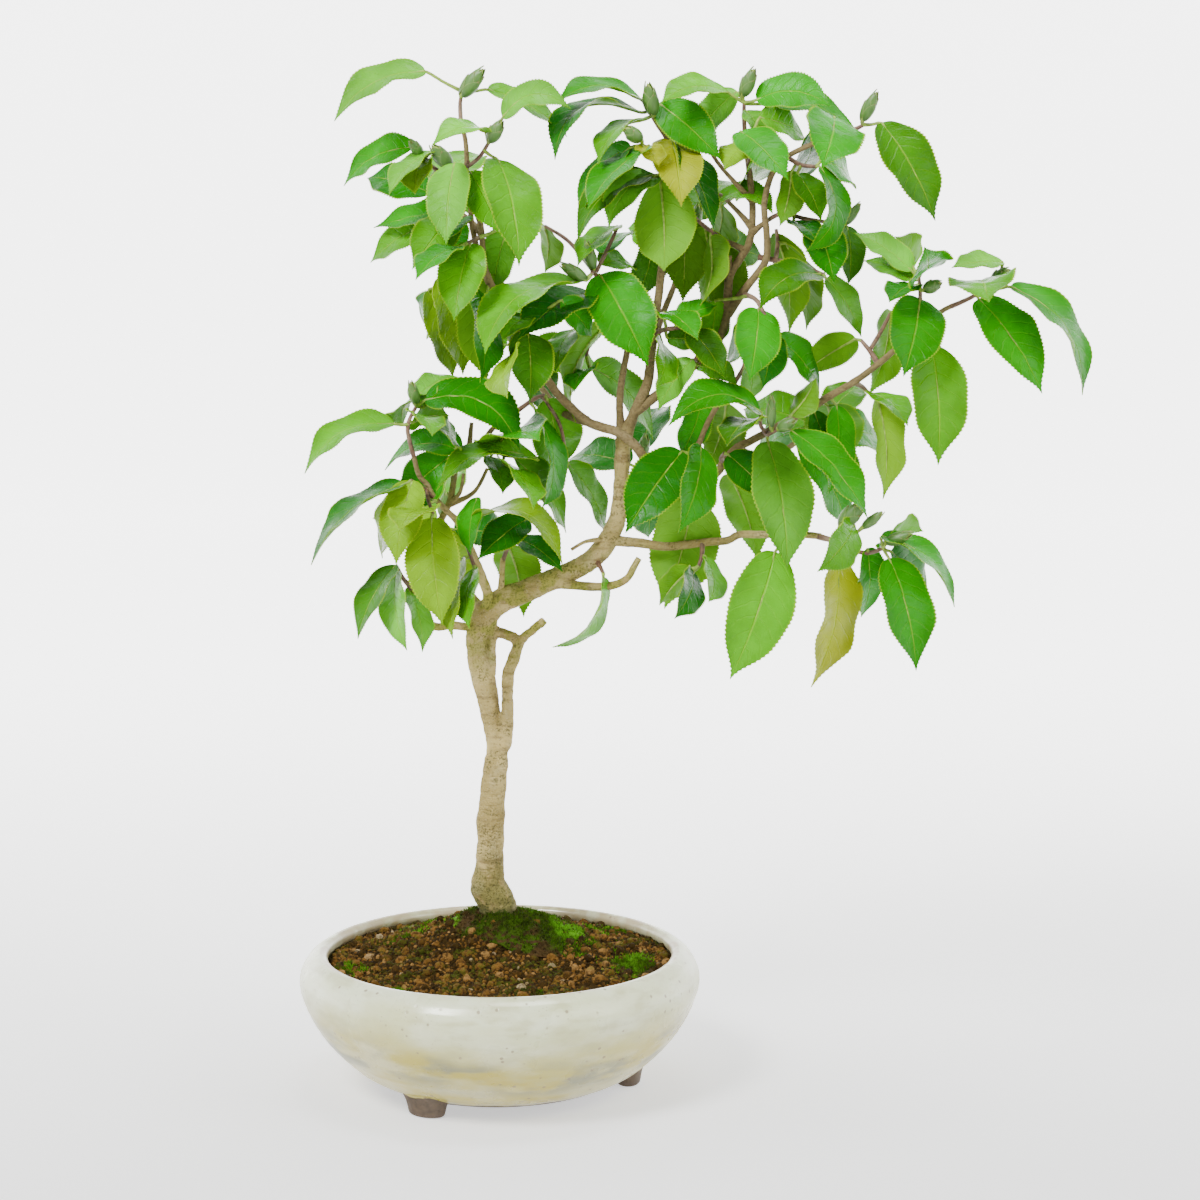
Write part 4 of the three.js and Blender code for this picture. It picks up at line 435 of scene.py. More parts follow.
         (217, 324, 214, 283, 22, 16, "MT"), (230, 318, 247, 251, -12, 28, "MT"),
         (225, 331, 269, 289, -6, 10, "MT", 0, 246, 330), (231, 322, 252, 290, 34, 15, "DT"),
         (228, 327, 250, 334, 42, 11, "MU")],
        [(201, 337, 216, 352, 11), (214, 336, 227, 346, 6), (228, 327, 244, 333, 8)]),
    "right_drop": (
        [[(208, 421.5, -3.5, 1.8), (213, 419, 3, 1.4), (216, 416, 7, 1.1)]],
        [(222, 413, 226, 353, 10, 18, "YU", -2), (219, 415, 240, 396, -40, 13, "LT")],
        []),
    "right_rise": (
        [[(222, 432.5, -5, 1.8), (217, 440, 2, 1.4), (212, 446, 7, 1.1)],
         [(217, 440, 2, 1.4), (224, 452, 10, 1.2), (229, 462, 14, 1)]],
        [(209, 447, 177, 426, 14, 20, "LU"), (229, 463, 217, 414, 18, 20, "LU")],
        []),
    "right_top": (
        [[(246, 458, -11, 1.5), (246, 466, -15, 1.3), (246, 474, -18, 1.2), (245, 483, -18, 1)]],
        [(246, 470, 237, 425, -28, 32, "MT"), (247, 486, 248, 500, -54, 22, "MT"),
         (242, 488, 231, 506, 44, 17, "LU"), (241, 486, 207, 508, 14, 14, "PT"),
         (242, 478, 228, 468, -46, 13, "DT", 3), (241, 481, 213, 492, 34, 12, "LT", -2)],
        [(248, 475, 259, 480, 8)]),
    "right_long": (
        [[(249, 456, -8.4, 1.6), (253, 451, -14, 1.3), (254, 447, -17, 1.1)]],
        [(253, 443, 258, 373, -12, 32, "LT")],
        []),
    "far_right": (
        [[(264, 465.6, -10, 1.5), (272, 469, -12, 1.3), (280, 473, -13, 1.2), (288, 476, -14, 1)]],
        [(280, 470, 318, 415, -22, 27, "MT"), (298, 477, 341.5, 414, -8, 12, "MT", 0, 335.5, 455),
         (281, 480, 286, 468, -56, 37, "LT"), (294, 491, 264, 488, -12, 10, "PT", 0, 279, 495)],
        [(288, 478, 298, 488, 10)]),
}
# Sprays behind the tree, each on the tip of the wood of its name: the tones of its leaves. One leaf is
# swung forward to be clear of others, and one more is listed.
BACK_SPRAYS = {
    "back_low": "DYYL", "back_bough": "MDDD", "back_middle": "LLOL",
    "back_centre": "OLOO", "back_right": "MLMLM", "back_high": "LDMP",
}
BACK_SWINGS = {("back_right", 2): -1}
BACK_LEAVES = {"back_right": [(176, 388, 206, 332, 10, 22, "MT")]}
BACK_SEED, BACK_SEED_STEP = 71, 13


class Wire:
    """An output inside a node tree. Sums and products of wires add the nodes that make them."""

    def __init__(self, graph, socket):
        self.graph = graph
        self.socket = socket

    def joined(self, operation, other):
        many = self.socket.type in {"VECTOR", "RGBA"}
        return (self.graph.vector if many else self.graph.math)(operation, self, other)

    def __add__(self, other):
        return self.joined("ADD", other)

    def __sub__(self, other):
        return self.joined("SUBTRACT", other)

    def __rsub__(self, other):
        return self.graph.math("SUBTRACT", other, self)

    def __mul__(self, other):
        if self.socket.type in {"VECTOR", "RGBA"}:
            return self.graph.scaled(self, other)
        return self.graph.math("MULTIPLY", self, other)

    def __truediv__(self, other):
        return self.graph.math("DIVIDE", self, other)

    def __pow__(self, other):
        return self.graph.math("POWER", self, other)

    def __abs__(self):
        return self.graph.math("ABSOLUTE", self)


class Graph:
    """A node tree under construction."""

    def __init__(self, tree):
        self.tree = tree

    def add(self, kind, inputs=(), out=0, **options):
        """Adds a node with its inputs and options, and returns a wire from one of its outputs."""
        node = self.tree.nodes.new(kind)
        for name, value in options.items():
            setattr(node, name, value)
        for name, value in dict(inputs).items():
            self.feed(self.pick(node.inputs, name), value)
        return Wire(self, self.pick(node.outputs, out))

    def pick(self, sockets, name):
        if isinstance(name, int):
            return sockets[name]
        return next(socket for socket in sockets if socket.name == name and socket.enabled)

    def feed(self, socket, value):
        if isinstance(value, Wire):
            self.tree.links.new(value.socket, socket)
        else:
            socket.default_value = value

    def math(self, operation, *values, **options):
        return self.add("ShaderNodeMath", enumerate(values), operation=operation, **options)

    def vector(self, operation, *values):
        out = "Value" if operation == "LENGTH" else 0
        return self.add("ShaderNodeVectorMath", enumerate(values), out, operation=operation)

    def scaled(self, vector, amount):
        return self.add("ShaderNodeVectorMath", {0: vector, "Scale": amount}, operation="SCALE")

    def crossed(self, first, second):
        return self.vector("NORMALIZE", self.vector("CROSS_PRODUCT", first, second))

    def join(self, x, y, z):
        return self.add("ShaderNodeCombineXYZ", {"X": x, "Y": y, "Z": z})

    def part(self, vector, axis):
        return self.add("ShaderNodeSeparateXYZ", {"Vector": vector}, axis)

    def noise(self, where, scale, detail, stretch=None):
        """Noise at a place, finer along the axes that are stretched by more than one."""
        if stretch:
            where = self.vector("MULTIPLY", where, stretch)
        return self.add("ShaderNodeTexNoise", {"Vector": where, "Scale": scale, "Detail": detail}, "Fac")

    def step(self, value, low, high, to_low=0.0, to_high=1.0):
        """Runs smoothly from one value to another between two limits."""
        limits = {"Value": value, "From Min": low, "From Max": high, "To Min": to_low, "To Max": to_high}
        return self.add("ShaderNodeMapRange", limits, interpolation_type="SMOOTHSTEP")


class Growth(Graph):
    """A modifier's node tree with named inputs."""

    def __init__(self, name, **inputs):
        super().__init__(bpy.data.node_groups.new(name, "GeometryNodeTree"))
        self.tree.is_modifier = True
        face = self.tree.interface
        for label, kind in {"Geometry": "Geometry", **inputs}.items():
            face.new_socket(label.replace("_", " "), in_out="INPUT", socket_type="NodeSocket" + kind)
        face.new_socket("Geometry", in_out="OUTPUT", socket_type="NodeSocketGeometry")
        self.source = self.add("NodeGroupInput")

    def make(self, kind, inputs=(), out=0, **options):
        return self.add("GeometryNode" + kind, inputs, out, **options)

    def input(self, name):
        return Wire(self, self.pick(self.source.socket.node.outputs, name))

    def attribute(self, name, kind="FLOAT"):
        return self.make("InputNamedAttribute", {"Name": name}, data_type=kind)

    def store(self, geometry, name, value, kind="FLOAT", domain="POINT"):
        inputs = {"Geometry": geometry, "Name": name, "Value": value}
        return self.make("StoreNamedAttribute", inputs, data_type=kind, domain=domain)

    def lines(self, kind):
        """The lines of one kind, as curves."""
        chosen = self.add("FunctionNodeCompare", {"A": self.attribute("kind", "INT"), "B": kind},
                          data_type="INT", operation="EQUAL")
        some = self.make("SeparateGeometry", {"Geometry": self.source, "Selection": chosen}, domain="POINT")
        return self.make("MeshToCurve", {"Mesh": some})

    def place_on(self, curves, share, index=0):
        """A place on a line, at a share of its length."""
        inputs = {"Curves": curves, "Factor": share, "Curve Index": index}
        return self.make("SampleCurve", inputs, "Position", mode="FACTOR")

    def value_on(self, curves, share, index, name, kind="FLOAT"):
        """A value of a line, at a share of its length."""
        value = self.attribute(name, kind)
        inputs = {"Curves": curves, "Value": value, "Factor": share, "Curve Index": index}
        return self.make("SampleCurve", inputs, "Value", data_type=kind, mode="FACTOR")

    def slabs(self, lines, along, across, each=1.0):
        """Flat closed slabs, some for each line: they know how far "along" (0 to 1), "across" and
        "deep" (-1 to 1) a point lies, on which "side" a face is and which "copy" it belongs to."""
        sizes = {"Size": (1, 1, 1), "Vertices X": along + 1, "Vertices Y": across + 1, "Vertices Z": 2}
        slab = self.make("MeshCube", sizes)
        where = self.make("InputPosition")
        facing = self.part(self.make("InputNormal"), "Z")
        slab = self.store(slab, "along", self.part(where, "X") + 0.5)
        slab = self.store(slab, "across", self.part(where, "Y") * 2.0)
        slab = self.store(slab, "deep", self.part(where, "Z") * 2.0)
        slab = self.store(slab, "side", facing, domain="FACE")
        count = self.make("AttributeDomainSize", {"Geometry": lines}, "Spline Count", component="CURVE")
        points = self.make("Points", {"Count": count * each})
        points = self.store(points, "copy", self.make("InputIndex"), "INT")
        placed = self.make("InstanceOnPoints", {"Points": points, "Instance": slab})
        return self.make("RealizeInstances", {"Geometry": placed})

    def bent(self, slabs, place):
        """Slabs brought into shape, with smooth faces and a crisp rim."""
        bent = self.make("SetPosition", {"Geometry": slabs, "Position": place})
        flat = self.math("GREATER_THAN", abs(self.attribute("side")), 0.5)
        return self.make("SetShadeSmooth", {"Geometry": bent, "Shade Smooth": flat}, domain="FACE")

    def gathered(self, parts):
        joined = self.make("JoinGeometry")
        for part in parts:
            self.feed(joined.socket.node.inputs[0], part)
        return joined

    def close(self, *parts):
        """Ends the tree with all its parts, each given with the name of its finish."""
        coated = [self.make("SetMaterial", {"Geometry": part, "Material": self.input(finish)})
                  for part, finish in reversed(parts)]
        real = self.make("RealizeInstances", {"Geometry": self.gathered(coated)})
        self.feed(self.tree.nodes.new("NodeGroupOutput").inputs[0], real)
        return self.tree


class Finish(Graph):
    """A material's node tree with its main shader."""

    def __init__(self, name, roughness, **constants):
        self.made = bpy.data.materials.new(name)
        self.made.use_nodes = True
        super().__init__(self.made.node_tree)
        self.shader = self.tree.nodes["Principled BSDF"]
        self.set(Roughness=roughness, **constants)
        self.where = self.add("ShaderNodeTexCoord", out="Object")

    def set(self, **values):
        for label, value in values.items():
            self.feed(self.shader.inputs[label.replace("_", " ")], value)

    def value(self, name, out="Fac"):
        return self.add("ShaderNodeAttribute", {}, out, attribute_name=name)

    def grain(self, scale, detail, stretch=None):
        return self.noise(self.where, scale, detail, stretch)

    def patches(self, scale, detail, low, high, stretch=None):
        """Soft patches, where the grain rises from a low to a high limit."""
        return self.step(self.grain(scale, detail, stretch), low, high)

    def dots(self, scale, low, high):
        """Small dots, one in each cell."""
        inputs = {"Vector": self.where, "Scale": scale}
        cells = self.add("ShaderNodeTexVoronoi", inputs, "Distance", feature="F1")
        return self.step(cells, high, low)

    def blend(self, share, first, second):
        """A colour mixed from two, each a wire or three numbers."""
        node = self.add("ShaderNodeMix", {"Factor": share}, data_type="RGBA").socket.node
        for i, colour in ((6, first), (7, second)):
            self.feed(node.inputs[i], colour if isinstance(colour, Wire) else (*colour, 1))
        return Wire(self, node.outputs[2])

    def layered(self, colour, *coats):
        """A colour under coats, each with its share and its own colour."""
        for share, coat in coats:
            colour = self.blend(share, colour, coat)
        return colour

    def painted(self, colour, relief, depth, strength):
        """The material, with its colour and its fine relief."""
        bump = self.add("ShaderNodeBump", {"Height": relief, "Distance": depth, "Strength": strength})
        self.set(Base_Color=colour, Normal=bump)
        return self.made


def place(across, height, behind):
    """A point seen at a place across and a height, carried back along its line of sight."""
    reach = (EYE_DISTANCE + behind) / EYE_DISTANCE
    x = EYE_ACROSS + (across - EYE_ACROSS) * reach
    z = EYE_HEIGHT + (height - EYE_HEIGHT) * reach
    return BOWL_AXIS + Vector((x, behind, z)) * MM


EYE = BOWL_AXIS + Vector((EYE_ACROSS, -EYE_DISTANCE, EYE_HEIGHT)) * MM


def mesh_from(name, points, edges=(), faces=()):
    mesh = bpy.data.meshes.new(name)
    mesh.from_pydata([tuple(point) for point in points], edges, faces)
    return mesh


class Lines:
    """Lines with a kind, a size, a facing, a tone and a number at each point."""

    TUBE, LEAF, BUD = 0, 1, 2
    KINDS = {"kind": "INT", "size": "FLOAT", "number": "FLOAT", "top": "FLOAT_VECTOR", "tone": "FLOAT_VECTOR"}

    def __init__(self):
        self.points = []
        self.edges = []
        self.values = {label: [] for label in self.KINDS}

    def add(self, points, kind, sizes, top=(0, 0, 1), tone=(1, 1, 1), number=0.0):
        start, count = len(self.points), len(points)
        self.points.extend(points)
        self.edges.extend((start + i, start + i + 1) for i in range(count - 1))
        self.values["size"].extend(sizes)
        for label, values in (("kind", [kind]), ("number", [number]), ("top", top), ("tone", tone)):
            self.values[label].extend([*values] * count)

    def made(self, name):
        """The lines as one mesh object of edges."""
        mesh = mesh_from(name, self.points, self.edges)
        for label, kind in self.KINDS.items():
            field = "vector" if kind == "FLOAT_VECTOR" else "value"
            mesh.attributes.new(label, kind, "POINT").data.foreach_set(field, self.values[label])
        return linked(name, mesh)


def linked(name, mesh):
    piece = bpy.data.objects.new(name, mesh)
    bpy.context.scene.collection.objects.link(piece)
    return piece


def applied(piece, modifier):
    """Turns an object into the plain mesh that its modifier makes of it."""
    depsgraph = bpy.context.evaluated_depsgraph_get()
    mesh = bpy.data.meshes.new_from_object(
        piece.evaluated_get(depsgraph), preserve_all_data_layers=True, depsgraph=depsgraph)
    piece.modifiers.remove(modifier)
    old, piece.data = piece.data, mesh
    bpy.data.meshes.remove(old)
    mesh.name = piece.name
    return piece


def grown(piece, tree, values):
    """Turns an object into the plain mesh that a node tree grows from it."""
    modifier = piece.modifiers.new(tree.name, "NODES")
    modifier.node_group = tree
    for item in tree.interface.items_tree:
        if item.in_out == "INPUT" and item.name in values:
            modifier[item.identifier] = values[item.name]
    return applied(piece, modifier)


def stored(mesh, name, values):
    """Keeps a number for each of a mesh's points, for its finish to read."""
    mesh.attributes.new(name, "FLOAT", "POINT").data.foreach_set("value", values)
    return mesh


def finished(piece, slot, *nodes):
    """Lets a piece ride with the tree and stand for its nodes; its slot is not used."""
    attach(piece, BODY)
    if nodes:
        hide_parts(*nodes)


def smooth(piece):
    piece.data.shade_smooth()
    return piece


def leaf_material():
    """Glossy leaf: pale midrib and side veins, a fine net between them, a paler matt underside; painted shade
    darkens each blade towards its tip and its edges.
    """
    graph = Finish("camellia_leaf", 0.3, Specular_IOR_Level=0.085)
    along, number, tone = graph.value("along"), graph.value("number"), graph.value("tone", "Color")
    away = abs(graph.value("across"))
    under = graph.math("LESS_THAN", graph.value("side"), -0.5)
    rib = graph.step(away, 0.012, 0.055, 1.0, 0.0)
    wave = along * 8.5 - away ** 1.3 * 1.5 + graph.grain(130.0, 1.0) * 0.5 + number
    ridge = abs(graph.math("FRACT", wave) - 0.5)
    vein = graph.step(ridge, 0.0, 0.11, 1.0, 0.0) * graph.step(away, 0.72, 0.95, 1.0, 0.0)
    net = graph.add("ShaderNodeTexVoronoi", {"Vector": graph.where, "Scale": 650.0}, "Distance",
                    feature="DISTANCE_TO_EDGE")
    cell = graph.step(net, 0.0, 0.16, 1.0, 0.0)
    clouds = graph.grain(45.0, 3.0)
    # Random mottling, times painted shade that darkens each blade from its foot towards its tip.
    mottle_and_painted_shade = graph.step(clouds, 0.3, 0.7, 0.84, 1.12) * graph.step(along, 0.0, 1.0, 1.1, 0.9)
    # Painted shade also darkens each blade from its midrib towards its edges.
    colour = graph.scaled(tone, mottle_and_painted_shade * graph.step(away, 0.2, 0.95, 1.08, 0.86))
    pale = graph.blend(0.5, tone, (0.42, 0.62, 0.03))
    colour = graph.layered(
        colour,
        (vein * 0.07 + cell * 0.04, pale),
        (rib * 0.45, pale),
        (graph.step(away, 0.93, 0.98) * 0.5, (0.36, 0.50, 0.01)))
    colour = graph.blend(under, colour, graph.blend(0.5, colour, (0.13, 0.30, 0.004)))
    graph.set(Roughness=graph.step(graph.grain(90.0, 2.0), 0.3, 0.7, 0.18, 0.30) + under * 0.22)
    relief = (vein * 0.6 + rib * 1.5) * (under * 1.6 - 0.8) + cell * -0.12 + clouds * 0.25
    return graph.painted(colour, relief, 0.0006, 0.7)


def twig_material():
    """Young wood: red-brown with pale pores, turning green where a leaf stalk leaves it."""
    graph = Finish("camellia_twig", 0.6)
    pores = graph.step(graph.grain(420.0, 3.0), 0.35, 0.65, 0.7, 1.3)
    speckled = graph.scaled(graph.value("tone", "Color"), pores)
    old = graph.patches(70.0, 3.0, 0.5, 0.7) * 0.3 * (1.0 - graph.value("number"))
    return graph.painted(graph.blend(old, speckled, (0.38, 0.30, 0.20)), graph.grain(600.0, 4.0), 0.0004, 0.6)


def bud_material():
    """Bud scales: pale green, silky, with a thin brown edge at the tips."""
    graph = Finish("camellia_bud", 0.45)
    along, away = graph.value("along"), abs(graph.value("across"))
    ribs = graph.grain(500.0, 2.0, (1, 1, 0.3))
    colour = graph.layered(
        graph.blend(ribs, (0.035, 0.105, 0.012), (0.10, 0.21, 0.035)),
        (graph.step(along, 0.5, 0.0) * 0.6, (0.020, 0.060, 0.006)),
        (graph.step(away, 0.86, 1.0) * 0.55, (0.26, 0.34, 0.10)),
        (graph.step(along, 0.9, 1.0) * 0.75, (0.20, 0.12, 0.05)))
    return graph.painted(colour, ribs, 0.0003, 0.5)


def bark_material():
    """Old bark: grey-tan, dark in its cracks, with green algae low down and at the fork."""
    graph = Finish("camellia_bark", 0.85, Specular_IOR_Level=0.2)
    height = graph.part(graph.where, "Z")
    fine = graph.grain(380.0, 5.0, (1, 1, 1.6))
    grit = graph.grain(1300.0, 3.0)
    ringed = graph.grain(95.0, 4.0, (0.35, 0.35, 2.2))
    spots = graph.patches(800.0, 4.0, 0.50, 0.60)
    fork = graph.step(abs(height - FORK_HEIGHT), 0.055, 0.008) * graph.patches(110.0, 4.0, 0.42, 0.58)
    low = graph.step(height, 0.155, 0.094) * graph.patches(150.0, 4.0, 0.34, 0.50)
    young = graph.step(graph.value("size"), 0.0062, 0.0028) * graph.step(height, 0.31, 0.39)
    colour = graph.layered(
        graph.blend(graph.patches(34.0, 4.0, 0.36, 0.64), (0.27, 0.205, 0.065), (0.46, 0.355, 0.135)),
        (graph.patches(55.0, 3.0, 0.5, 0.72) * 0.55, (0.49, 0.42, 0.23)),
        (graph.step(ringed, 0.45, 0.30) * 0.75, (0.17, 0.12, 0.045)),
        (graph.step(fine, 0.46, 0.30) * 0.7, (0.13, 0.10, 0.04)),
        (graph.step(grit, 0.56, 0.72) * 0.35, (0.60, 0.51, 0.32)),
        (spots * graph.patches(70.0, 4.0, 0.50, 0.62, (1, 1, 1.8)) * 0.75, (0.075, 0.070, 0.025)),
        (fork * 0.85, (0.22, 0.215, 0.028)),
        (fork * spots * 0.7, (0.070, 0.075, 0.015)),
        (low * 0.85, (0.13, 0.125, 0.03)),
        (low * spots * 0.8, (0.035, 0.040, 0.010)),
        (graph.step(height, 0.106, 0.098) * 0.75, (0.04, 0.045, 0.012)),
        (young * 0.85, graph.blend(fine, (0.070, 0.045, 0.018), (0.20, 0.15, 0.070))))
    return graph.painted(colour, fine + ringed + grit * 0.25, 0.0012, 0.9)


def glaze_material():
    """Milky celadon glaze, straw-coloured low down and darker there with painted shade, with clouds, specks
    and pits; bare clay underneath.
    """
    graph = Finish("milky_glaze", 0.3, Coat_Roughness=0.12)
    height = graph.part(graph.where, "Z")
    out = graph.vector("LENGTH", graph.vector("MULTIPLY", graph.where - tuple(BOWL_AXIS), (1, 1, 0)))
    drift = graph.grain(16.0, 5.0, (1, 1, 1.5))
    level = height + (drift - 0.5) * 0.044
    band = graph.step(abs(level - 0.033), 0.020, 0.0)
    stain = graph.patches(90.0, 4.0, 0.36, 0.60)
    lip = graph.step(abs(out - LIP_RADIUS), 0.0022, 0.0006) * graph.step(height, 0.078, 0.081)
    inside = graph.step(out, LIP_RADIUS, LIP_RADIUS - 0.0014) * graph.step(height, 0.060, 0.066)
    speck = graph.dots(150.0, 0.10, 0.20) * graph.patches(55.0, 1.0, 0.46, 0.58)
    pits = graph.dots(420.0, 0.12, 0.22) * graph.patches(80.0, 2.0, 0.5, 0.6)
    dipped = height - graph.value("bare") * 0.005 + (graph.grain(90.0, 2.0) - 0.5) * 0.006
    bare = graph.step(dipped, 0.0088, 0.0076)
    # Towards the foot the glaze turns straw-coloured and darker: partly the glaze's own colour, partly
    # painted shade on the lower wall.
    colour = graph.layered(
        graph.blend(graph.step(level, 0.080, 0.032), (0.56, 0.60, 0.375), (0.36, 0.295, 0.02)),
        (graph.patches(24.0, 5.0, 0.42, 0.68, (1, 1, 2.6)) * 0.3, (0.74, 0.78, 0.68)),
        (graph.patches(60.0, 5.0, 0.44, 0.70, (1, 1, 2.6)) * 0.5, (0.36, 0.345, 0.16)),
        (band * graph.patches(21.0, 5.0, 0.46, 0.60, (1, 1, 3.4)) * 0.95, (0.17, 0.17, 0.095)),
        (lip * stain * 0.75, (0.30, 0.21, 0.11)),
        (inside * (stain * 0.5 + 0.4), (0.33, 0.26, 0.14)),
        (speck * 0.7, (0.17, 0.11, 0.06)),
        (pits * 0.45, (0.30, 0.26, 0.18)),
        (bare, graph.blend(graph.grain(300.0, 4.0), (0.028, 0.018, 0.011), (0.105, 0.07, 0.042))))
    gloss = graph.step(graph.grain(45.0, 4.0), 0.3, 0.7, 0.22, 0.46)
    graph.set(Roughness=gloss + bare * 0.4, Coat_Weight=0.3 - bare * 0.3)
    relief = drift * 1.4 + graph.grain(130.0, 3.0) * 0.25 - speck * 0.4 - pits * 0.3
    return graph.painted(colour, relief, 0.0012, 0.4)


def soil_material():
    """Potting soil: dark humus with brown and tan lumps and a bloom of green."""
    graph = Finish("potting_soil", 0.95, Specular_IOR_Level=0.08)
    tint, grain = graph.value("tint"), graph.grain(420.0, 4.0)
    green = graph.patches(60.0, 4.0, 0.48, 0.60) * graph.step(grain, 0.4, 0.6)
    colour = graph.layered(
        graph.blend(graph.step(tint, 0.15, 0.75), (0.028, 0.016, 0.003), (0.135, 0.066, 0.014)),
        (graph.step(tint, 0.86, 0.91), (0.21, 0.115, 0.034)),
        (graph.step(tint, 0.985, 0.99), (0.26, 0.19, 0.10)),
        (green * 0.7, (0.040, 0.055, 0.005)),
        (graph.step(grain, 0.52, 0.34) * 0.7, (0.010, 0.006, 0.003)))
    return graph.painted(colour, grain, 0.0015, 1.0)


def moss_material():
    """Moss: dark and brownish at its heart, a clear yellow-green where it is young."""
    graph = Finish("cushion_moss", 0.9, Specular_IOR_Level=0.08)
    patch = graph.patches(42.0, 3.0, 0.40, 0.60) * graph.patches(230.0, 2.0, 0.36, 0.56)
    young = graph.step(abs(graph.part(graph.where, "X") - BOWL_AXIS.x - 0.002), 0.012, 0.038)
    back = graph.step(graph.part(graph.where, "Y") - BOWL_AXIS.y, 0.004, 0.022)
    light = graph.math("MULTIPLY", patch * 0.7 + graph.value("tint") * 0.4,
                       young * 0.6 + back * 0.3 + 0.12, use_clamp=True)
    brown = graph.patches(75.0, 3.0, 0.54, 0.66) * graph.step(young, 0.6, 0.2)
    earth = graph.step(graph.value("cover"), 0.9, 0.4) * graph.step(patch, 0.7, 0.2)
    colour = graph.layered(
        graph.blend(light, (0.020, 0.028, 0.003), (0.10, 0.30, 0.008)),
        (brown * 0.6, (0.045, 0.026, 0.008)),
        (earth, graph.blend(graph.grain(260.0, 4.0), (0.012, 0.007, 0.003), (0.075, 0.038, 0.014))))
    return graph.painted(colour, graph.grain(500.0, 4.0), 0.0014, 0.9)


def tubes(graph, sides, spacing, grain):
    """Round stems along lines, with a little waviness in their skin."""
    lines = graph.make("CurveSplineType", {"Curve": graph.lines(Lines.TUBE)}, spline_type="CATMULL_ROM")
    even = graph.make("ResampleCurve", {"Curve": lines, "Length": spacing}, mode="LENGTH")
    ring = graph.make("CurvePrimitiveCircle", {"Resolution": sides, "Radius": 1.0})
    size = graph.attribute("size")
    skin = graph.make("CurveToMesh", {"Curve": even, "Profile Curve": ring, "Scale": size, "Fill Caps": True})
    rough = (graph.noise(graph.make("InputPosition"), 260.0, 2.0) - 0.5) * size * grain
    return graph.make("SetPosition", {"Geometry": skin, "Offset": graph.make("InputNormal") * rough})


def blades(graph):
    """Leaf blades: a slab bent along each midrib, given the leaf's outline, fold, waves and teeth."""
    lines = graph.lines(Lines.LEAF)
    slabs = graph.slabs(lines, 64, 8)
    share, side, leaf = graph.attribute("along"), graph.attribute("across"), graph.attribute("copy", "INT")
    spot = graph.place_on(lines, share, leaf)
    ahead = Wire(graph, graph.pick(spot.socket.node.outputs, "Tangent"))
    top, tone = (graph.value_on(lines, share, leaf, name, "FLOAT_VECTOR") for name in ("top", "tone"))
    width, number = (graph.value_on(lines, share, leaf, name) for name in ("size", "number"))
    across = graph.crossed(top, ahead)
    normal = graph.crossed(ahead, across)
    bulge = graph.math("MAXIMUM", graph.math("SINE", share ** 0.8 * math.pi), 0.0)
    outline = bulge ** graph.step(share, 0.55, 1.0, 0.6, 1.35) + 0.012
    half = width * outline * 0.5
    away = abs(side)
    tooth = graph.math("COSINE", share * (64 * math.pi)) * graph.input("Tooth Depth")
    tooth = tooth * graph.math("GREATER_THAN", away, 0.99)
    tooth = tooth * graph.step(share, 0.06, 0.16) * graph.step(share, 0.99, 0.94)
    wave = graph.math("SINE", share * 14.0 + side * 1.7 + number * 9.0)
    wave = wave * side * side * outline * width * graph.input("Edge Wave")
    ripple = graph.join(share * 3.0 + number * 40.0, side * 1.2, number * 17.0)
    dents = (graph.noise(ripple, 1.6, 2.0) - 0.5) * width * outline * 0.10
    groove = graph.step(away, 0.0, 0.2, -1.0, 0.0) * graph.step(share, 1.0, 0.7) * 0.00035
    lift = half * side * side * graph.input("Leaf Fold") + wave + dents + groove
    thick = graph.attribute("deep") * graph.input("Leaf Thickness") * 0.5
    thick = thick * graph.step(away, 1.0, 0.8, 0.55, 1.0)
    bent = graph.bent(slabs, spot + across * (side * (half + tooth)) + normal * (lift + thick))
    bent = graph.store(bent, "tone", tone, "FLOAT_VECTOR")
    return graph.store(bent, "number", number)


def bud_scales(graph):
    """Buds: pointed scales laid round an egg shape in a spiral, each over the foot of the next."""
    lines = graph.lines(Lines.BUD)
    slabs = graph.slabs(lines, 8, 6, float(SCALES_A_BUD))
    share, side, copy = graph.attribute("along"), graph.attribute("across"), graph.attribute("copy", "INT")
    bud = graph.math("FLOOR", (copy + 0.5) / float(SCALES_A_BUD))
    order = (copy - bud * float(SCALES_A_BUD)) / float(SCALES_A_BUD - 1)
    foot = graph.place_on(lines, 0.0, bud)
    axis = graph.place_on(lines, 1.0, bud) - foot
    width = graph.value_on(lines, 0.5, bud, "size")
    upright = graph.vector("NORMALIZE", axis)
    aside = graph.crossed(upright, (0.3, 0.9, 0.2))
    third = graph.vector("CROSS_PRODUCT", upright, aside)
    height = order * 0.36 + (order * 0.07 + 0.57) * share
    spread = graph.math("SINE", (share * 0.82 + 0.18) * math.pi) ** 0.8 * 1.2
    angle = graph.math("FLOOR", copy + 0.5) * SPIRAL_TURN + side * spread
    egg = graph.math("MAXIMUM", graph.math("SINE", (height * 0.97 + 0.03) ** 0.72 * math.pi), 0.0) ** 0.8
    proud = (1.0 - order) * 0.04 + share * share * 0.09 - side * side * 0.02
    out = width * (egg * 0.40 + proud) + graph.attribute("deep") * 0.00025
    turn = aside * graph.math("COSINE", angle) + third * graph.math("SINE", angle)
    return graph.bent(slabs, foot + axis * height + turn * out)


def spray_growth():
    """The tree that turns a spray's lines into twigs and stalks, leaves and buds."""
    graph = Growth("camellia_spray", Leaf_Thickness="Float", Leaf_Fold="Float", Edge_Wave="Float",
                   Tooth_Depth="Float", Bark_Grain="Float", Twig="Material", Leaf="Material", Bud="Material")
    twigs = tubes(graph, 8, 0.0022, graph.input("Bark Grain"))
    return graph.close((twigs, "Twig"), (blades(graph), "Leaf"), (bud_scales(graph), "Bud"))


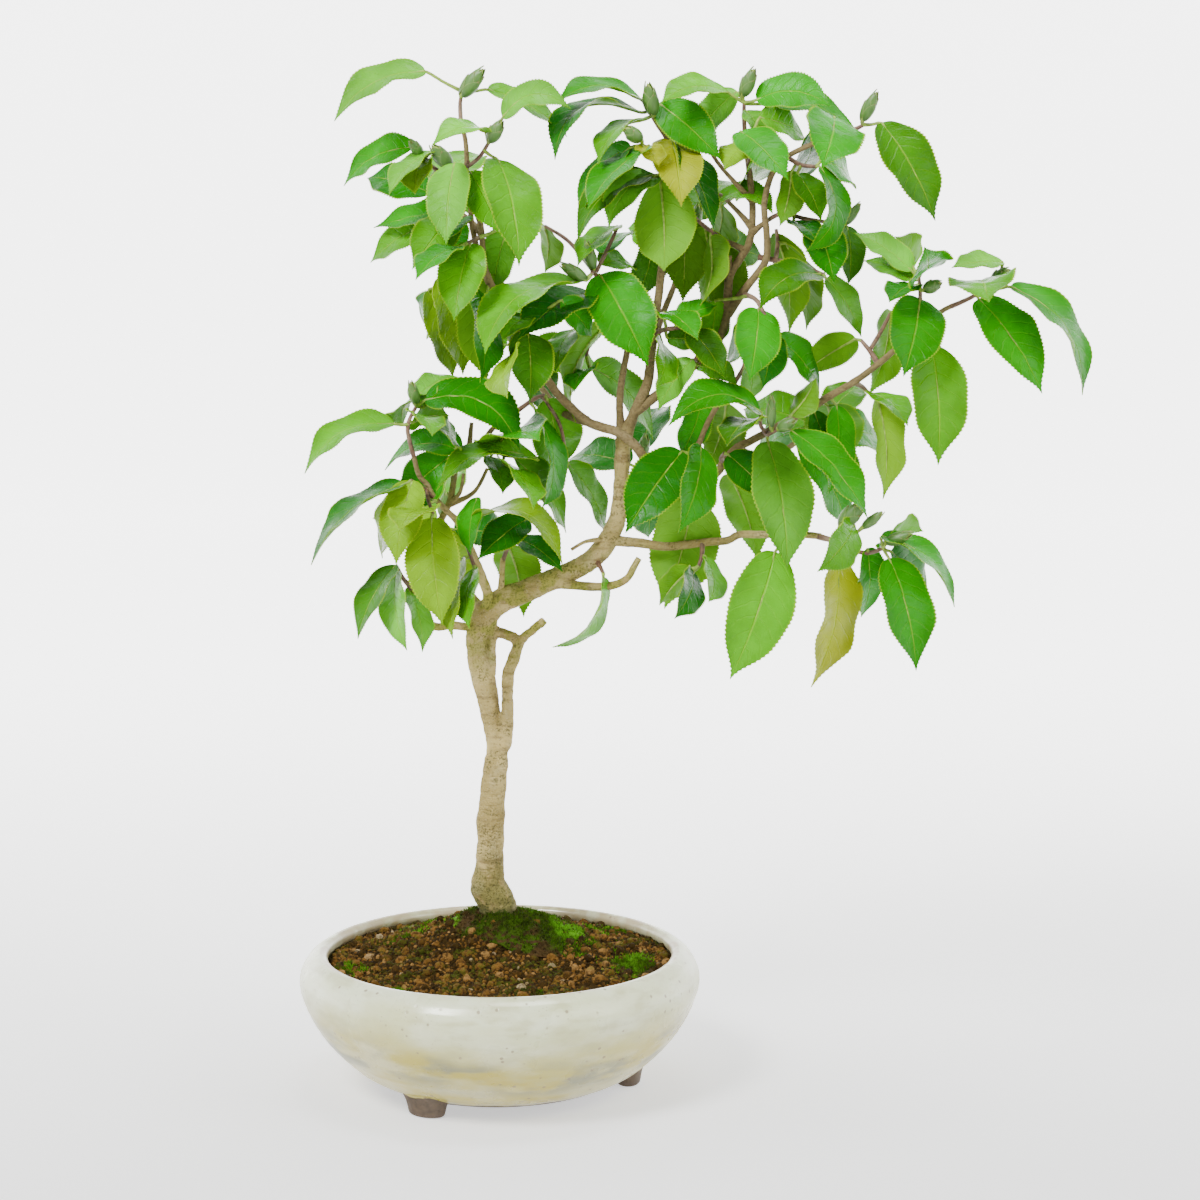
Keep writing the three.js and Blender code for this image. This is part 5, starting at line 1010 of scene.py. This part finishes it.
def wood_growth():
    """The tree that turns the routes of trunk and branches into round wood."""
    graph = Growth("camellia_wood", Sides="Int", Spacing="Float", Bark_Grain="Float", Bark="Material")
    skin = tubes(graph, graph.input("Sides"), graph.input("Spacing"), graph.input("Bark Grain"))
    return graph.close((skin, "Bark"))


def turned_growth():
    """The tree that turns an outline about the upright axis, with faint rings from the wheel."""
    graph = Growth("turned_shape", Sides="Int", Rows="Int", Ring_Depth="Float", Finish="Material")
    outline = graph.make("MeshToCurve", {"Mesh": graph.source})
    outline = graph.make("CurveSplineType", {"Curve": outline}, spline_type="CATMULL_ROM")
    sheet = graph.make("MeshGrid", {
        "Size X": 1.0, "Size Y": 1.0, "Vertices X": graph.input("Sides"), "Vertices Y": graph.input("Rows")})
    where, depth = graph.make("InputPosition"), graph.input("Ring Depth")
    turn = (graph.part(where, "X") + 0.5) * (2 * math.pi)
    spot = graph.place_on(outline, graph.part(where, "Y") + 0.5)
    radius, height = graph.part(spot, "X"), graph.part(spot, "Z")
    rings = graph.math("SINE", height * 1400.0 + graph.math("SINE", turn) * 0.8) * depth
    sag = graph.math("SINE", turn * 2.0 + 0.7) * 0.0003
    radius = radius + (rings - depth + sag - 0.0003) * graph.step(radius, 0.012, 0.03)
    target = graph.join(graph.math("COSINE", turn) * radius, graph.math("SINE", turn) * radius, height)
    shape = graph.make("SetPosition", {"Geometry": sheet, "Position": target})
    shape = graph.make("MergeByDistance", {"Geometry": shape, "Distance": 0.00002})
    return graph.close((shape, "Finish"))


def scattered(graph, shape, spacing, low, high, tilt, seed):
    """Copies of a shape on the covered part of a surface, each turned, sized and tinted by chance."""
    def chance(seed, kind="FLOAT", **limits):
        return graph.add("FunctionNodeRandomValue", {**limits, "Seed": seed}, "Value", data_type=kind)
    points = graph.make("DistributePointsOnFaces", {
        "Mesh": graph.source, "Distance Min": spacing, "Density Max": 4.0e6,
        "Density Factor": graph.attribute("cover"), "Seed": seed}, distribute_method="POISSON")
    points = graph.store(points, "tint", chance(3))
    lean = chance(5, "FLOAT_VECTOR", Min=(-tilt, -tilt, -3.1), Max=(tilt, tilt, 3.1))
    size = chance(8, "FLOAT_VECTOR", Min=(low, low, low), Max=(high, high, high))
    placed = graph.make("InstanceOnPoints", {
        "Points": points, "Instance": shape, "Rotation": lean, "Scale": size})
    return graph.make("RealizeInstances", {"Geometry": placed})


def soil_growth():
    """The tree that strews grains and lumps over the soil."""
    graph = Growth("soil_grains", Grain_Spacing="Float", Seed="Int", Finish="Material")
    grain, lump = (graph.make("MeshIcoSphere", {"Radius": 1.0, "Subdivisions": fine}) for fine in (1, 2))
    where, seed = graph.make("InputPosition"), graph.input("Seed")
    knobbly = graph.make("SetPosition", {
        "Geometry": lump, "Offset": where * ((graph.noise(where, 1.3, 2.0) - 0.5) * 0.9)})
    grains = scattered(graph, grain, graph.input("Grain Spacing"), 0.0007, 0.0019, 3.0, seed)
    lumps = scattered(graph, knobbly, 0.011, 0.0022, 0.0038, 3.0, seed + 7)
    bed = graph.store(graph.source, "tint", 0.1)
    return graph.close((bed, "Finish"), (grains, "Finish"), (lumps, "Finish"))


def moss_growth(keep_ground):
    """The tree that covers a surface with tufts of three leaflets, and may keep the surface."""
    graph = Growth("moss_tufts", Tuft_Spacing="Float", Tuft_Height="Float", Seed="Int", Finish="Material")
    spike = graph.make("MeshCone", {"Vertices": 3, "Radius Top": 0.0, "Radius Bottom": 0.16, "Depth": 1.0},
                       "Mesh", fill_type="TRIANGLE_FAN")
    tuft = graph.gathered([
        graph.make("Transform", {"Geometry": spike, "Rotation": (tilt, 0.0, turn)})
        for tilt, turn in ((0.5, 0.0), (0.6, 2.1), (0.4, 4.2))])
    tall = graph.input("Tuft Height")
    tuft = graph.make("Transform", {"Geometry": tuft, "Scale": graph.join(tall, tall, tall)})
    tufts = scattered(graph, tuft, graph.input("Tuft Spacing"), 0.5, 1.6, 0.6, graph.input("Seed"))
    parts = [(tufts, "Finish")]
    if keep_ground:
        parts.append((graph.store(graph.source, "tint", 0.2), "Finish"))
    return graph.close(*parts)


def soil_height(x, y):
    """Height of the soil in millimetres: level at the wall, heaped up round the trunk."""
    away = math.hypot(x - TRUNK_FOOT[0], y - TRUNK_FOOT[1])
    heap = MOUND_HEIGHT * math.exp(-((away / MOUND_RADIUS) ** 2))
    bumps = 0.8 * math.sin(x * 0.11 + 1) * math.sin(y * 0.13) + 0.5 * math.sin(x * 0.23 - y * 0.19)
    fade = 1 - min(math.hypot(x, y) / SOIL_REACH, 1) ** 6
    return SOIL_EDGE_HEIGHT + (heap + bumps) * fade


def soil_surface(x, y):
    """Height of the soil's uneven skin in millimetres."""
    near_wall = (math.hypot(x, y) / SOIL_REACH) ** 8
    rough = noise.fractal(Vector((x, y, 7)) * 0.09, 0.9, 2.0, 4) * 2.2 * (1 - near_wall)
    return soil_height(x, y) + rough - 0.5


def on_axis(x, y, z):
    """A point given in millimetres from the foot of the bowl's axis."""
    return BOWL_AXIS + Vector((x, y, z)) * MM


def off_axis(point):
    """How far across and back a point lies from the bowl's axis, in millimetres."""
    return (point.x - BOWL_AXIS.x) / MM, (point.y - BOWL_AXIS.y) / MM


def by_trunk(x, y, reach):
    return math.hypot(x - TRUNK_FOOT[0], y - TRUNK_FOOT[1]) < reach


def circle(radius, sides):
    """Places round a circle."""
    turns = [2 * math.pi * i / sides for i in range(sides)]
    return [(radius * math.cos(turn), radius * math.sin(turn)) for turn in turns]


def ring_faces(count, sides):
    """Faces between rings of points that follow each other."""
    faces = []
    for row in range(count - 1):
        for i in range(sides):
            a, b = row * sides + i, row * sides + (i + 1) % sides
            faces.append((a, b, b + sides, a + sides))
    return faces


def rings_mesh(name, rings):
    """A closed skin through rings of points; the first and the last ring are closed by fans."""
    points = [point for ring in rings for point in ring]
    sides = len(rings[0])
    faces = ring_faces(len(rings), sides)
    for row, order in ((0, 1), (len(rings) - 1, -1)):
        ring = [row * sides + i for i in range(sides)]
        middle = len(points)
        points.append(sum((points[i] for i in ring), Vector()) / sides)
        for i in range(sides):
            faces.append((middle, ring[(i + 1) % sides], ring[i])[::order])
    return outward(mesh_from(name, points, faces=faces))


def outward(mesh):
    """The mesh with all its faces pointing out."""
    shape = bmesh.new()
    shape.from_mesh(mesh)
    bmesh.ops.recalc_face_normals(shape, faces=shape.faces)
    if shape.calc_volume(signed=True) < 0:
        bmesh.ops.reverse_faces(shape, faces=shape.faces)
    shape.to_mesh(mesh)
    shape.free()
    return mesh


def covered(mesh, share_at):
    """Marks how much of the surface grows something, from 0 to 1, at each point."""
    return stored(mesh, "cover", [share_at(point.co) for point in mesh.vertices])


def moss_dome(name, centre, reach, thickness, sides):
    """A low cushion with a lumpy edge that lies on the soil."""
    rings = []
    for row in range(1, MOSS_RINGS):
        tilt = math.pi * row / MOSS_RINGS
        ring = []
        for i in range(sides):
            angle = 2 * math.pi * i / sides
            lumpy = 1 + 0.16 * math.sin(angle * 3 + centre[0]) + 0.09 * math.sin(angle * 5 + 1)
            lumpy += 0.05 * noise.noise(Vector((math.cos(angle) * 4, math.sin(angle) * 4, centre[1])))
            x = centre[0] + math.cos(angle) * math.sin(tilt) * reach[0] * lumpy * 0.97
            y = centre[1] + math.sin(angle) * math.sin(tilt) * reach[1] * lumpy * 0.97
            swell = 0.62 + 0.5 * noise.fractal(Vector((x, y, 0)) * 0.10, 0.9, 2.0, 4)
            swell += 0.22 * noise.noise(Vector((x, y, 5)) * 0.45)
            ring.append(on_axis(x, y, soil_height(x, y) + math.cos(tilt) * thickness * swell))
        rings.append(ring)

    def share_at(point):
        x, y = off_axis(point)
        buried = point.z < (soil_height(x, y) + 0.2) * MM
        return 0.0 if by_trunk(x, y, 12) or buried else max(moss_share(point), 0.5)
    return linked(name, covered(rings_mesh(name, rings), share_at))


def moss_share(point):
    """How densely moss stands at a point of the soil: in ragged patches."""
    x, y = off_axis(point)
    ragged = noise.fractal(Vector((x, y, 3)) * 0.07, 0.8, 2.0, 4) * 0.9
    share = 0.0
    for centre_x, centre_y, reach_x, reach_y in MOSS_PATCHES:
        away = math.hypot((x - centre_x) / reach_x, (y - centre_y) / reach_y)
        share = max(share, 1.25 - away + ragged)
    return min(max(share * 2.2, 0), 1) if math.hypot(x, y) < 102.5 else 0.0


def soil_top(name, step):
    """The upper face of the soil, without its underside."""
    rings = [circle(radius, SOIL_SIDES) for radius in range(100, 0, -step)]
    points = [on_axis(x, y, soil_surface(x, y)) for ring in rings for x, y in ring]
    return mesh_from(name, points, faces=ring_faces(len(rings), SOIL_SIDES))


def seeded(state):
    """Chances from 0 to 1 that come out the same each time."""
    while True:
        state = state * 16807 % 2147483647
        yield state / 2147483647


def tenths(*values):
    return tuple(round(value, 1) for value in values)


def back_spray(name, tones, chance):
    """A spray behind the tree: a short twig on the tip of its wood, with leaves that fan out and away."""
    before, (*tip, radius) = WOOD[name][-2:]
    ahead = [b - a for a, b in zip(before, tip)]
    reach = 16 / math.hypot(*ahead)
    start = [b - step * 0.02 for b, step in zip(tip, ahead)]
    end = [b + step * reach for b, step in zip(tip, ahead)]
    leaves = []
    for i, tone in enumerate(tones):
        share = 0.3 + 0.7 * i / (len(tones) - 1)
        angle = i * 2.4 + next(chance) * 0.5
        across, up = math.cos(angle), math.sin(angle)
        foot_x = start[0] + (end[0] - start[0]) * share + across * 5
        foot_z = start[1] + (end[1] - start[1]) * share + up * 5
        span = 34 + next(chance) * 10
        behind = 54 if i == len(tones) - 1 else 26 + next(chance) * 22
        blade = tenths(foot_x, foot_z, foot_x + across * span, foot_z + up * span * 0.8 - 8,
                       behind, 20 + next(chance) * 6)
        leaves.append((*blade, tone + "T", BACK_SWINGS.get((name, i), 0)))
    twig = [tenths(*start, radius), tenths(*end, 1)]
    bud = tenths(end[0], end[1], end[0] + 3, end[1] + 15, 8)
    return [twig], leaves + BACK_LEAVES.get(name, []), [bud]


def nearest_on_twigs(twigs, across, height):
    """The nearest place on a spray's twigs to a point of the front view."""
    places = []
    for twig in twigs:
        for i, (start, end) in enumerate(zip(twig, twig[1:])):
            run, rise = end[0] - start[0], end[1] - start[1]
            along = ((across - start[0]) * run + (height - start[1]) * rise) / (run * run + rise * rise or 1)
            share = min(max(along, 0.45 if i == 0 else 0), 0.96)
            places.append([a + (b - a) * share for a, b in zip(start[:3], end[:3])])
    return min(places, key=lambda spot: math.hypot(spot[0] - across, spot[1] - height))


def leaf_shape(twigs, row):
    """A leaf's root, the three points of its midrib's curve, its width and where its top faces."""
    foot_x, foot_z, tip_x, tip_z, behind, seen, look, *more = row
    root_x, root_z, root_y = nearest_on_twigs(twigs, foot_x, foot_z)
    to_foot = math.hypot(foot_x - root_x, foot_z - root_z)
    foot_y = root_y + math.copysign(min(to_foot * 0.3, 4), behind)
    root, foot = place(root_x, root_z, root_y), place(foot_x, foot_z, foot_y)
    tip = place(tip_x, tip_z, foot_y + behind + (more[0] * SWING if more else 0))
    chord = tip - foot
    length = chord.length / MM
    chord.normalize()
    width = max(min(max(length * 0.5, 20), 40), seen + 1)
    to_eye = (EYE - foot).normalized()
    to_eye = (to_eye - chord * to_eye.dot(chord)).normalized()
    aside = chord.cross(to_eye)
    middle = (foot + tip) / 2
    bend = None
    if len(more) > 1:
        bend = place(more[1], more[2], foot_y + behind * 0.5) - middle
        bend -= chord * bend.dot(chord)
        bend *= max(1 - seen * 0.35 * MM / bend.length, 0.3)
    if aside.dot(bend or Vector(((middle.x - BOWL_AXIS.x) / MM * 0.004, 0.1, 1))) < 0:
        aside.negate()
    turn = math.acos(min(seen / width, 1))
    facing = -math.cos(turn) if look[1] == "U" else math.cos(turn)
    top = (to_eye * facing + aside * math.sin(turn)).normalized()
    halfway = middle + (bend or top * (0.09 * length * MM))
    control = halfway * 2 - foot * 0.5 - tip * 0.5
    return root, (foot, control, tip), width, top


def curve_point(ends, share):
    foot, control, tip = ends
    return foot * (1 - share) ** 2 + control * (2 * share * (1 - share)) + tip * share ** 2


def tinted(colour, chance, spread):
    return tuple(min(part * (1 + (chance - 0.5) * spread), 1) for part in colour)


def spray_lines(node, twigs, leaves, buds, wood, green):
    """A spray's twigs, stalks, leaves and buds as lines."""
    lines = Lines()
    for twig in twigs:
        lines.add([place(*p[:3]) for p in twig], Lines.TUBE, [p[3] * MM for p in twig], tone=wood)
    chance = np.random.default_rng(sum(ord(letter) for letter in node))
    for row in leaves:
        root, ends, width, top = leaf_shape(twigs, row)
        tone = tinted(LEAF_TONES_WITH_PAINTED_LIGHT[row[6][0]], chance.random(), 0.35)
        rib = [curve_point(ends, i / RIB_STEPS) for i in range(RIB_STEPS + 1)]
        lines.add(rib, Lines.LEAF, [width * MM] * len(rib), top, tone, chance.random())
        stalk = [root, root.lerp(ends[0], 0.5) - Vector((0, 0, 0.4 * MM)), ends[0]]
        radii = [1.25 * MM, 0.95 * MM, 0.9 * MM]
        for share in (0.08, 0.25, 0.5, 0.75):
            stalk.append(curve_point(ends, share) - top * ((0.9 - 0.5 * share) * MM))
            radii.append((0.85 - 0.75 * share) * MM)
        lines.add(stalk, Lines.TUBE, radii, tone=green, number=1.0)
    for foot_x, foot_z, tip_x, tip_z, width in buds:
        root = nearest_on_twigs(twigs, foot_x, foot_z)
        foot, tip = place(foot_x, foot_z, root[2] - 2), place(tip_x, tip_z, root[2] - 7)
        lines.add([foot, tip], Lines.BUD, [width * MM] * 2)
        core = [place(*root), foot, *(foot.lerp(tip, share) for share in (0.35, 0.7, 0.93))]
        radii = [MM, 1.4 * MM, width * 0.38 * MM, width * 0.25 * MM, 0.2 * MM]
        lines.add(core, Lines.TUBE, radii, tone=green)
    return lines


def wood_lines(names, flare):
    """The routes of some of the wood as lines, each a little thicker where it leaves its parent."""
    lines = Lines()
    for name in names:
        route = WOOD[name]
        sizes = [point[3] * MM for point in route]
        sizes[0] *= flare
        lines.add([place(*point[:3]) for point in route], Lines.TUBE, sizes)
    return lines


def roughen(mesh):
    """Gives old wood its lumps, its upright ridges and the scars that ring it."""
    co, normals = np.empty((2, len(mesh.vertices) * 3))
    mesh.vertices.foreach_get("co", co)
    mesh.vertex_normals.foreach_get("vector", normals)
    co, normals = co.reshape(-1, 3), normals.reshape(-1, 3)
    for i, (point, normal) in enumerate(zip(co, normals)):
        p = Vector(point) / MM
        lumps = noise.fractal(p * 0.11, 1.0, 2.0, 3) * 0.55
        ridges = noise.noise(Vector((p.x * 0.7, p.y * 0.7, p.z * 0.16))) * 0.3
        scars = -abs(noise.noise(Vector((p.x * 0.05, p.y * 0.05, p.z * 0.45)))) * 0.35
        co[i] += normal * ((lumps + ridges + scars + 0.05) * MM)
    mesh.vertices.foreach_set("co", co.ravel())
    mesh.update()


class CamelliaBowl(bpy.types.PropertyGroup):
    """Sizes of the glazed bowl."""

    sides: IntProperty(name="Sides", description="Faces round the bowl", default=160, min=24)
    ring_depth: FloatProperty(
        name="Ring Depth", description="Depth of the rings that the wheel left",
        default=0.00012, min=0, unit="LENGTH")


class CamelliaGround(bpy.types.PropertyGroup):
    """Sizes of the soil and the moss."""

    grain_spacing: FloatProperty(
        name="Grain Spacing", description="Smallest distance between two grains of soil",
        default=0.0026, min=0.001, unit="LENGTH")
    tuft_spacing: FloatProperty(
        name="Tuft Spacing", description="Smallest distance between two tufts of moss",
        default=0.0013, min=0.0005, unit="LENGTH")
    tuft_height: FloatProperty(
        name="Tuft Height", description="Height of a tuft of moss", default=0.0022, min=0, unit="LENGTH")
    seed: IntProperty(name="Seed", description="Where grains and tufts fall", default=4)


class CamelliaWood(bpy.types.PropertyGroup):
    """Sizes of the trunk and branches."""

    bark_detail: FloatProperty(
        name="Bark Detail", description="Size of the smallest form in the bark",
        default=0.0009, min=0.0005, unit="LENGTH")
    branch_grain: FloatProperty(
        name="Branch Grain", description="Unevenness of the branches' skin, as a share of their radius",
        default=0.35, min=0, subtype="FACTOR")


class CamelliaSprays(bpy.types.PropertyGroup):
    """Sizes and colours of the leafy twigs."""

    leaf_thickness: FloatProperty(
        name="Leaf Thickness", description="Thickness of a leaf's blade",
        default=0.0005, min=0.0001, unit="LENGTH")
    leaf_fold: FloatProperty(
        name="Leaf Fold", description="How far a leaf's halves rise, as a share of their width",
        default=0.17, subtype="FACTOR")
    edge_wave: FloatProperty(
        name="Edge Wave", description="Height of the waves in a leaf's edge, as a share of its width",
        default=0.045, subtype="FACTOR")
    tooth_depth: FloatProperty(
        name="Tooth Depth", description="Depth of the teeth along a leaf's edge",
        default=0.0005, unit="LENGTH")
    twig_colour: FloatVectorProperty(
        name="Twig Colour", description="Colour of the young wood",
        default=(0.13, 0.065, 0.035), subtype="COLOR")
    stalk_colour: FloatVectorProperty(
        name="Stalk Colour", description="Colour of the leaf stalks",
        default=(0.20, 0.30, 0.03), subtype="COLOR")


class CAMELLIA_OT_bowl(bpy.types.Operator):
    """Turns the glazed bowl and its three feet"""

    bl_idname = "camellia.bowl"
    bl_label = "Glazed Bowl"

    def execute(self, context):
        settings = context.scene.camellia_bowl
        tree, finish = turned_growth(), glaze_material()
        bowl = self.turned("glazed_bowl", [*BOWL_OUTLINE, BOWL_OUTLINE[0]], tree, {
            "Sides": settings.sides + 1, "Rows": 170, "Ring Depth": settings.ring_depth, "Finish": finish})
        for point in bowl.data.vertices:
            point.co *= self.swell(point.co / MM)
        bowl.data.transform(Matrix.Translation(BOWL_AXIS))
        finished(bowl, "pot", "pot")
        flat = Matrix.Diagonal((FOOT_DEPTH / FOOT_WIDTH, 1, 1, 1))
        out = Matrix.Translation((FOOT_CIRCLE * MM, 0, 0))
        for number, (degrees, bareness) in enumerate(zip(FOOT_ANGLES, FOOT_BARENESS), 1):
            foot = self.turned(f"bowl_foot_{number}", FOOT_OUTLINE, tree, {
                "Sides": 49, "Rows": 44, "Ring Depth": 0.0, "Finish": finish})
            turn = Matrix.Rotation(math.radians(degrees), 4, "Z")
            foot.data.transform(Matrix.Translation(BOWL_AXIS) @ turn @ out @ flat)
            stored(foot.data, "bare", [bareness] * len(foot.data.vertices))
            finished(foot, "pot")
        return {"FINISHED"}

    def swell(self, spot):
        """How much further out the wall stands where it runs down into a foot."""
        if spot.z >= 40 or spot.xy.length <= 66 + spot.z * 0.55:
            return 1.0
        turn = math.degrees(math.atan2(spot.y, spot.x))
        off = min(abs((turn - foot + 180) % 360 - 180) for foot in FOOT_ANGLES)
        beside = max(1 - (off / 11) ** 2, 0) ** 0.7
        above = max(1 - abs(spot.z - 14) / 20, 0) ** 0.8
        return 1 + 0.022 * beside * above

    def turned(self, name, outline, tree, values):
        lines = Lines()
        lines.add([Vector((radius, 0, height)) * MM for radius, height in outline], 0, [MM] * len(outline))
        piece = grown(lines.made(name), tree, values)
        outward(piece.data)
        return smooth(piece)


class CAMELLIA_OT_soil(bpy.types.Operator):
    """Fills the bowl with grainy soil"""

    bl_idname = "camellia.soil"
    bl_label = "Soil"

    def execute(self, context):
        settings = context.scene.camellia_ground
        rings = []
        for radius, height in SOIL_WALL:
            rings.append([on_axis(x, y, height) for x, y in circle(radius, SOIL_SIDES)])
        for radius in (SOIL_EDGE_RADIUS, *range(101, 2, -3)):
            rings.append([on_axis(x, y, soil_surface(x, y)) for x, y in circle(radius, SOIL_SIDES)])
        bed = linked("soil_bed", covered(rings_mesh("soil_bed", rings), self.share_at))
        grown(bed, soil_growth(), {
            "Grain Spacing": settings.grain_spacing, "Seed": settings.seed, "Finish": soil_material()})
        finished(bed, "soil", "soil")
        return {"FINISHED"}

    def share_at(self, point):
        x, y = off_axis(point)
        return 0.0 if by_trunk(x, y, 14) or math.hypot(x, y) > 103 or point.z < 0.0735 else 1.0


class CAMELLIA_OT_moss(bpy.types.Operator):
    """Grows moss on the soil round the trunk and at the rim"""

    bl_idname = "camellia.moss"
    bl_label = "Moss"

    def execute(self, context):
        settings = context.scene.camellia_ground
        sizes = {"Tuft Spacing": settings.tuft_spacing, "Tuft Height": settings.tuft_height,
                 "Seed": settings.seed, "Finish": moss_material()}
        tree = moss_growth(True)
        for name, node, *shape in MOSS_CUSHIONS:
            finished(grown(moss_dome(name, *shape), tree, sizes), "moss", node)
        strewn = linked("moss_on_soil", covered(soil_top("moss_on_soil", 2), moss_share))
        finished(grown(strewn, moss_growth(False), sizes), "moss")
        return {"FINISHED"}


class CAMELLIA_OT_wood(bpy.types.Operator):
    """Grows the trunk and the branches"""

    bl_idname = "camellia.wood"
    bl_label = "Trunk and Branches"

    def execute(self, context):
        settings = context.scene.camellia_wood
        tree, bark = wood_growth(), bark_material()
        trunk = wood_lines(FUSED, 1.0).made("trunk")
        grown(trunk, tree, {"Sides": 24, "Spacing": 0.004, "Bark Grain": 0.0, "Bark": bark})
        fuse = trunk.modifiers.new("Fuse", "REMESH")
        fuse.mode = "VOXEL"
        fuse.voxel_size = settings.bark_detail
        mesh = applied(trunk, fuse).data
        roughen(mesh)
        mesh.materials.clear()
        mesh.materials.append(bark)
        stored(mesh, "size", [0.01] * len(mesh.vertices))
        branches = wood_lines([name for name in WOOD if name not in FUSED], 1.3).made("branches")
        grown(branches, tree, {
            "Sides": 12, "Spacing": 0.0025, "Bark Grain": settings.branch_grain, "Bark": bark})
        for piece in (trunk, branches):
            finished(smooth(piece), "bark", "wood")
        return {"FINISHED"}


class CAMELLIA_OT_sprays(bpy.types.Operator):
    """Grows the leafy twigs with their buds"""

    bl_idname = "camellia.sprays"
    bl_label = "Leafy Sprays"

    def execute(self, context):
        settings = context.scene.camellia_sprays
        values = {"Leaf Thickness": settings.leaf_thickness, "Leaf Fold": settings.leaf_fold,
                  "Edge Wave": settings.edge_wave, "Tooth Depth": settings.tooth_depth, "Bark Grain": 0.25,
                  "Twig": twig_material(), "Leaf": leaf_material(), "Bud": bud_material()}
        wood, green = tuple(settings.twig_colour), tuple(settings.stalk_colour)
        tree = spray_growth()
        layouts = dict(SPRAYS)
        for i, (name, tones) in enumerate(BACK_SPRAYS.items()):
            layouts[name] = back_spray(name, tones, seeded(BACK_SEED + BACK_SEED_STEP * i))
        for name, layout in layouts.items():
            node = "spray_" + name
            lines = spray_lines(node, *layout, wood, green)
            finished(grown(lines.made("leafy_twig_" + name), tree, values), "leaves", node)
        return {"FINISHED"}


class CAMELLIA_OT_stage(bpy.types.Operator):
    """Sets up the pale studio with its glowing backdrop of painted light, its lights and the camera"""

    bl_idname = "camellia.stage"
    bl_label = "Studio"

    def execute(self, context):
        # The studio's paper is no lamp but glows: painted light, dimmest in front by the tree, brightest far
        # behind, fading above a metre or so.
        graph = Finish("studio_paper", 0.9, Base_Color=(0.6, 0.6, 0.6, 1), Emission_Color=(1, 1, 1, 1))
        glow = graph.step(graph.part(graph.where, "Y"), -0.6, 1.6, 0.35, 3.8)
        low = graph.step(graph.part(graph.where, "Z"), 1.0, 2.2, 1.0, 0.2)
        graph.set(Emission_Strength=glow * low)
        turns = np.linspace(0.1, math.pi / 2, 12)
        profile = [(0.02, 0), (1.5, 0), (3.0, 0)]
        profile += [(3.0 + math.sin(turn) * 1.2, 1.2 - math.cos(turn) * 1.2) for turn in turns]
        profile += [(4.2, 2.6), (4.2, 5.0)]
        points = []
        for radius, height in profile:
            points += [(x, y, height - 0.0002) for x, y in circle(radius, STAGE_SIDES)]
        walls = ring_faces(len(profile), STAGE_SIDES)
        faces = [tuple(range(STAGE_SIDES)), *((b, a, d, c) for a, b, c, d in walls)]
        mesh = mesh_from("studio_floor", points, faces=faces)
        mesh.materials.append(graph.made)
        smooth(linked("studio_floor", mesh))
        world = bpy.data.worlds.new("studio_sky")
        world.use_nodes = True
        sky = world.node_tree.nodes["Background"].inputs
        sky["Color"].default_value = (1, 1, 1, 1)
        sky["Strength"].default_value = 0.15
        context.scene.world = world
        target = BOWL_AXIS + Vector((0.06, 0, 0.33))
        for name, spot, size, power in LAMPS:
            light = bpy.data.lights.new(name, "AREA")
            light.size = size
            light.energy = power
            lamp = linked(name, light)
            lamp.location = target + Vector(spot)
            lamp.rotation_euler = Vector(spot).to_track_quat("Z", "Y").to_euler()
        camera = bpy.data.cameras.new("studio_camera")
        camera.lens = 90
        camera.sensor_width = 36
        viewer = linked("studio_camera", camera)
        viewer.location = EYE
        viewer.rotation_euler = (math.radians(90 - EYE_TILT), 0, 0)
        context.scene.camera = viewer
        return {"FINISHED"}


class CAMELLIA_PT_panel(bpy.types.Panel):
    """Lists the pieces of the bonsai"""

    bl_idname = "CAMELLIA_PT_panel"
    bl_label = "Camellia Bonsai"
    bl_space_type = "VIEW_3D"
    bl_region_type = "UI"
    bl_category = "Camellia"

    def draw(self, context):
        for group in GROUPS:
            settings = getattr(context.scene, group)
            for name in settings.__annotations__:
                self.layout.prop(settings, name)
        for operator in OPERATORS:
            self.layout.operator(operator.bl_idname)


GROUPS = {
    "camellia_bowl": CamelliaBowl,
    "camellia_ground": CamelliaGround,
    "camellia_wood": CamelliaWood,
    "camellia_sprays": CamelliaSprays,
}
OPERATORS = (
    CAMELLIA_OT_stage, CAMELLIA_OT_bowl, CAMELLIA_OT_soil,
    CAMELLIA_OT_moss, CAMELLIA_OT_wood, CAMELLIA_OT_sprays,
)


def register():
    for name, group in GROUPS.items():
        bpy.utils.register_class(group)
        setattr(bpy.types.Scene, name, PointerProperty(type=group))
    for kind in (*OPERATORS, CAMELLIA_PT_panel):
        bpy.utils.register_class(kind)


def unregister():
    for kind in (CAMELLIA_PT_panel, *reversed(OPERATORS)):
        bpy.utils.unregister_class(kind)
    for name, group in GROUPS.items():
        delattr(bpy.types.Scene, name)
        bpy.utils.unregister_class(group)


def main():
    register()
    bpy.ops.camellia.stage()
    bpy.ops.camellia.bowl()
    bpy.ops.camellia.soil()
    bpy.ops.camellia.moss()
    bpy.ops.camellia.wood()
    bpy.ops.camellia.sprays()


if __name__ == "__main__":
    main()
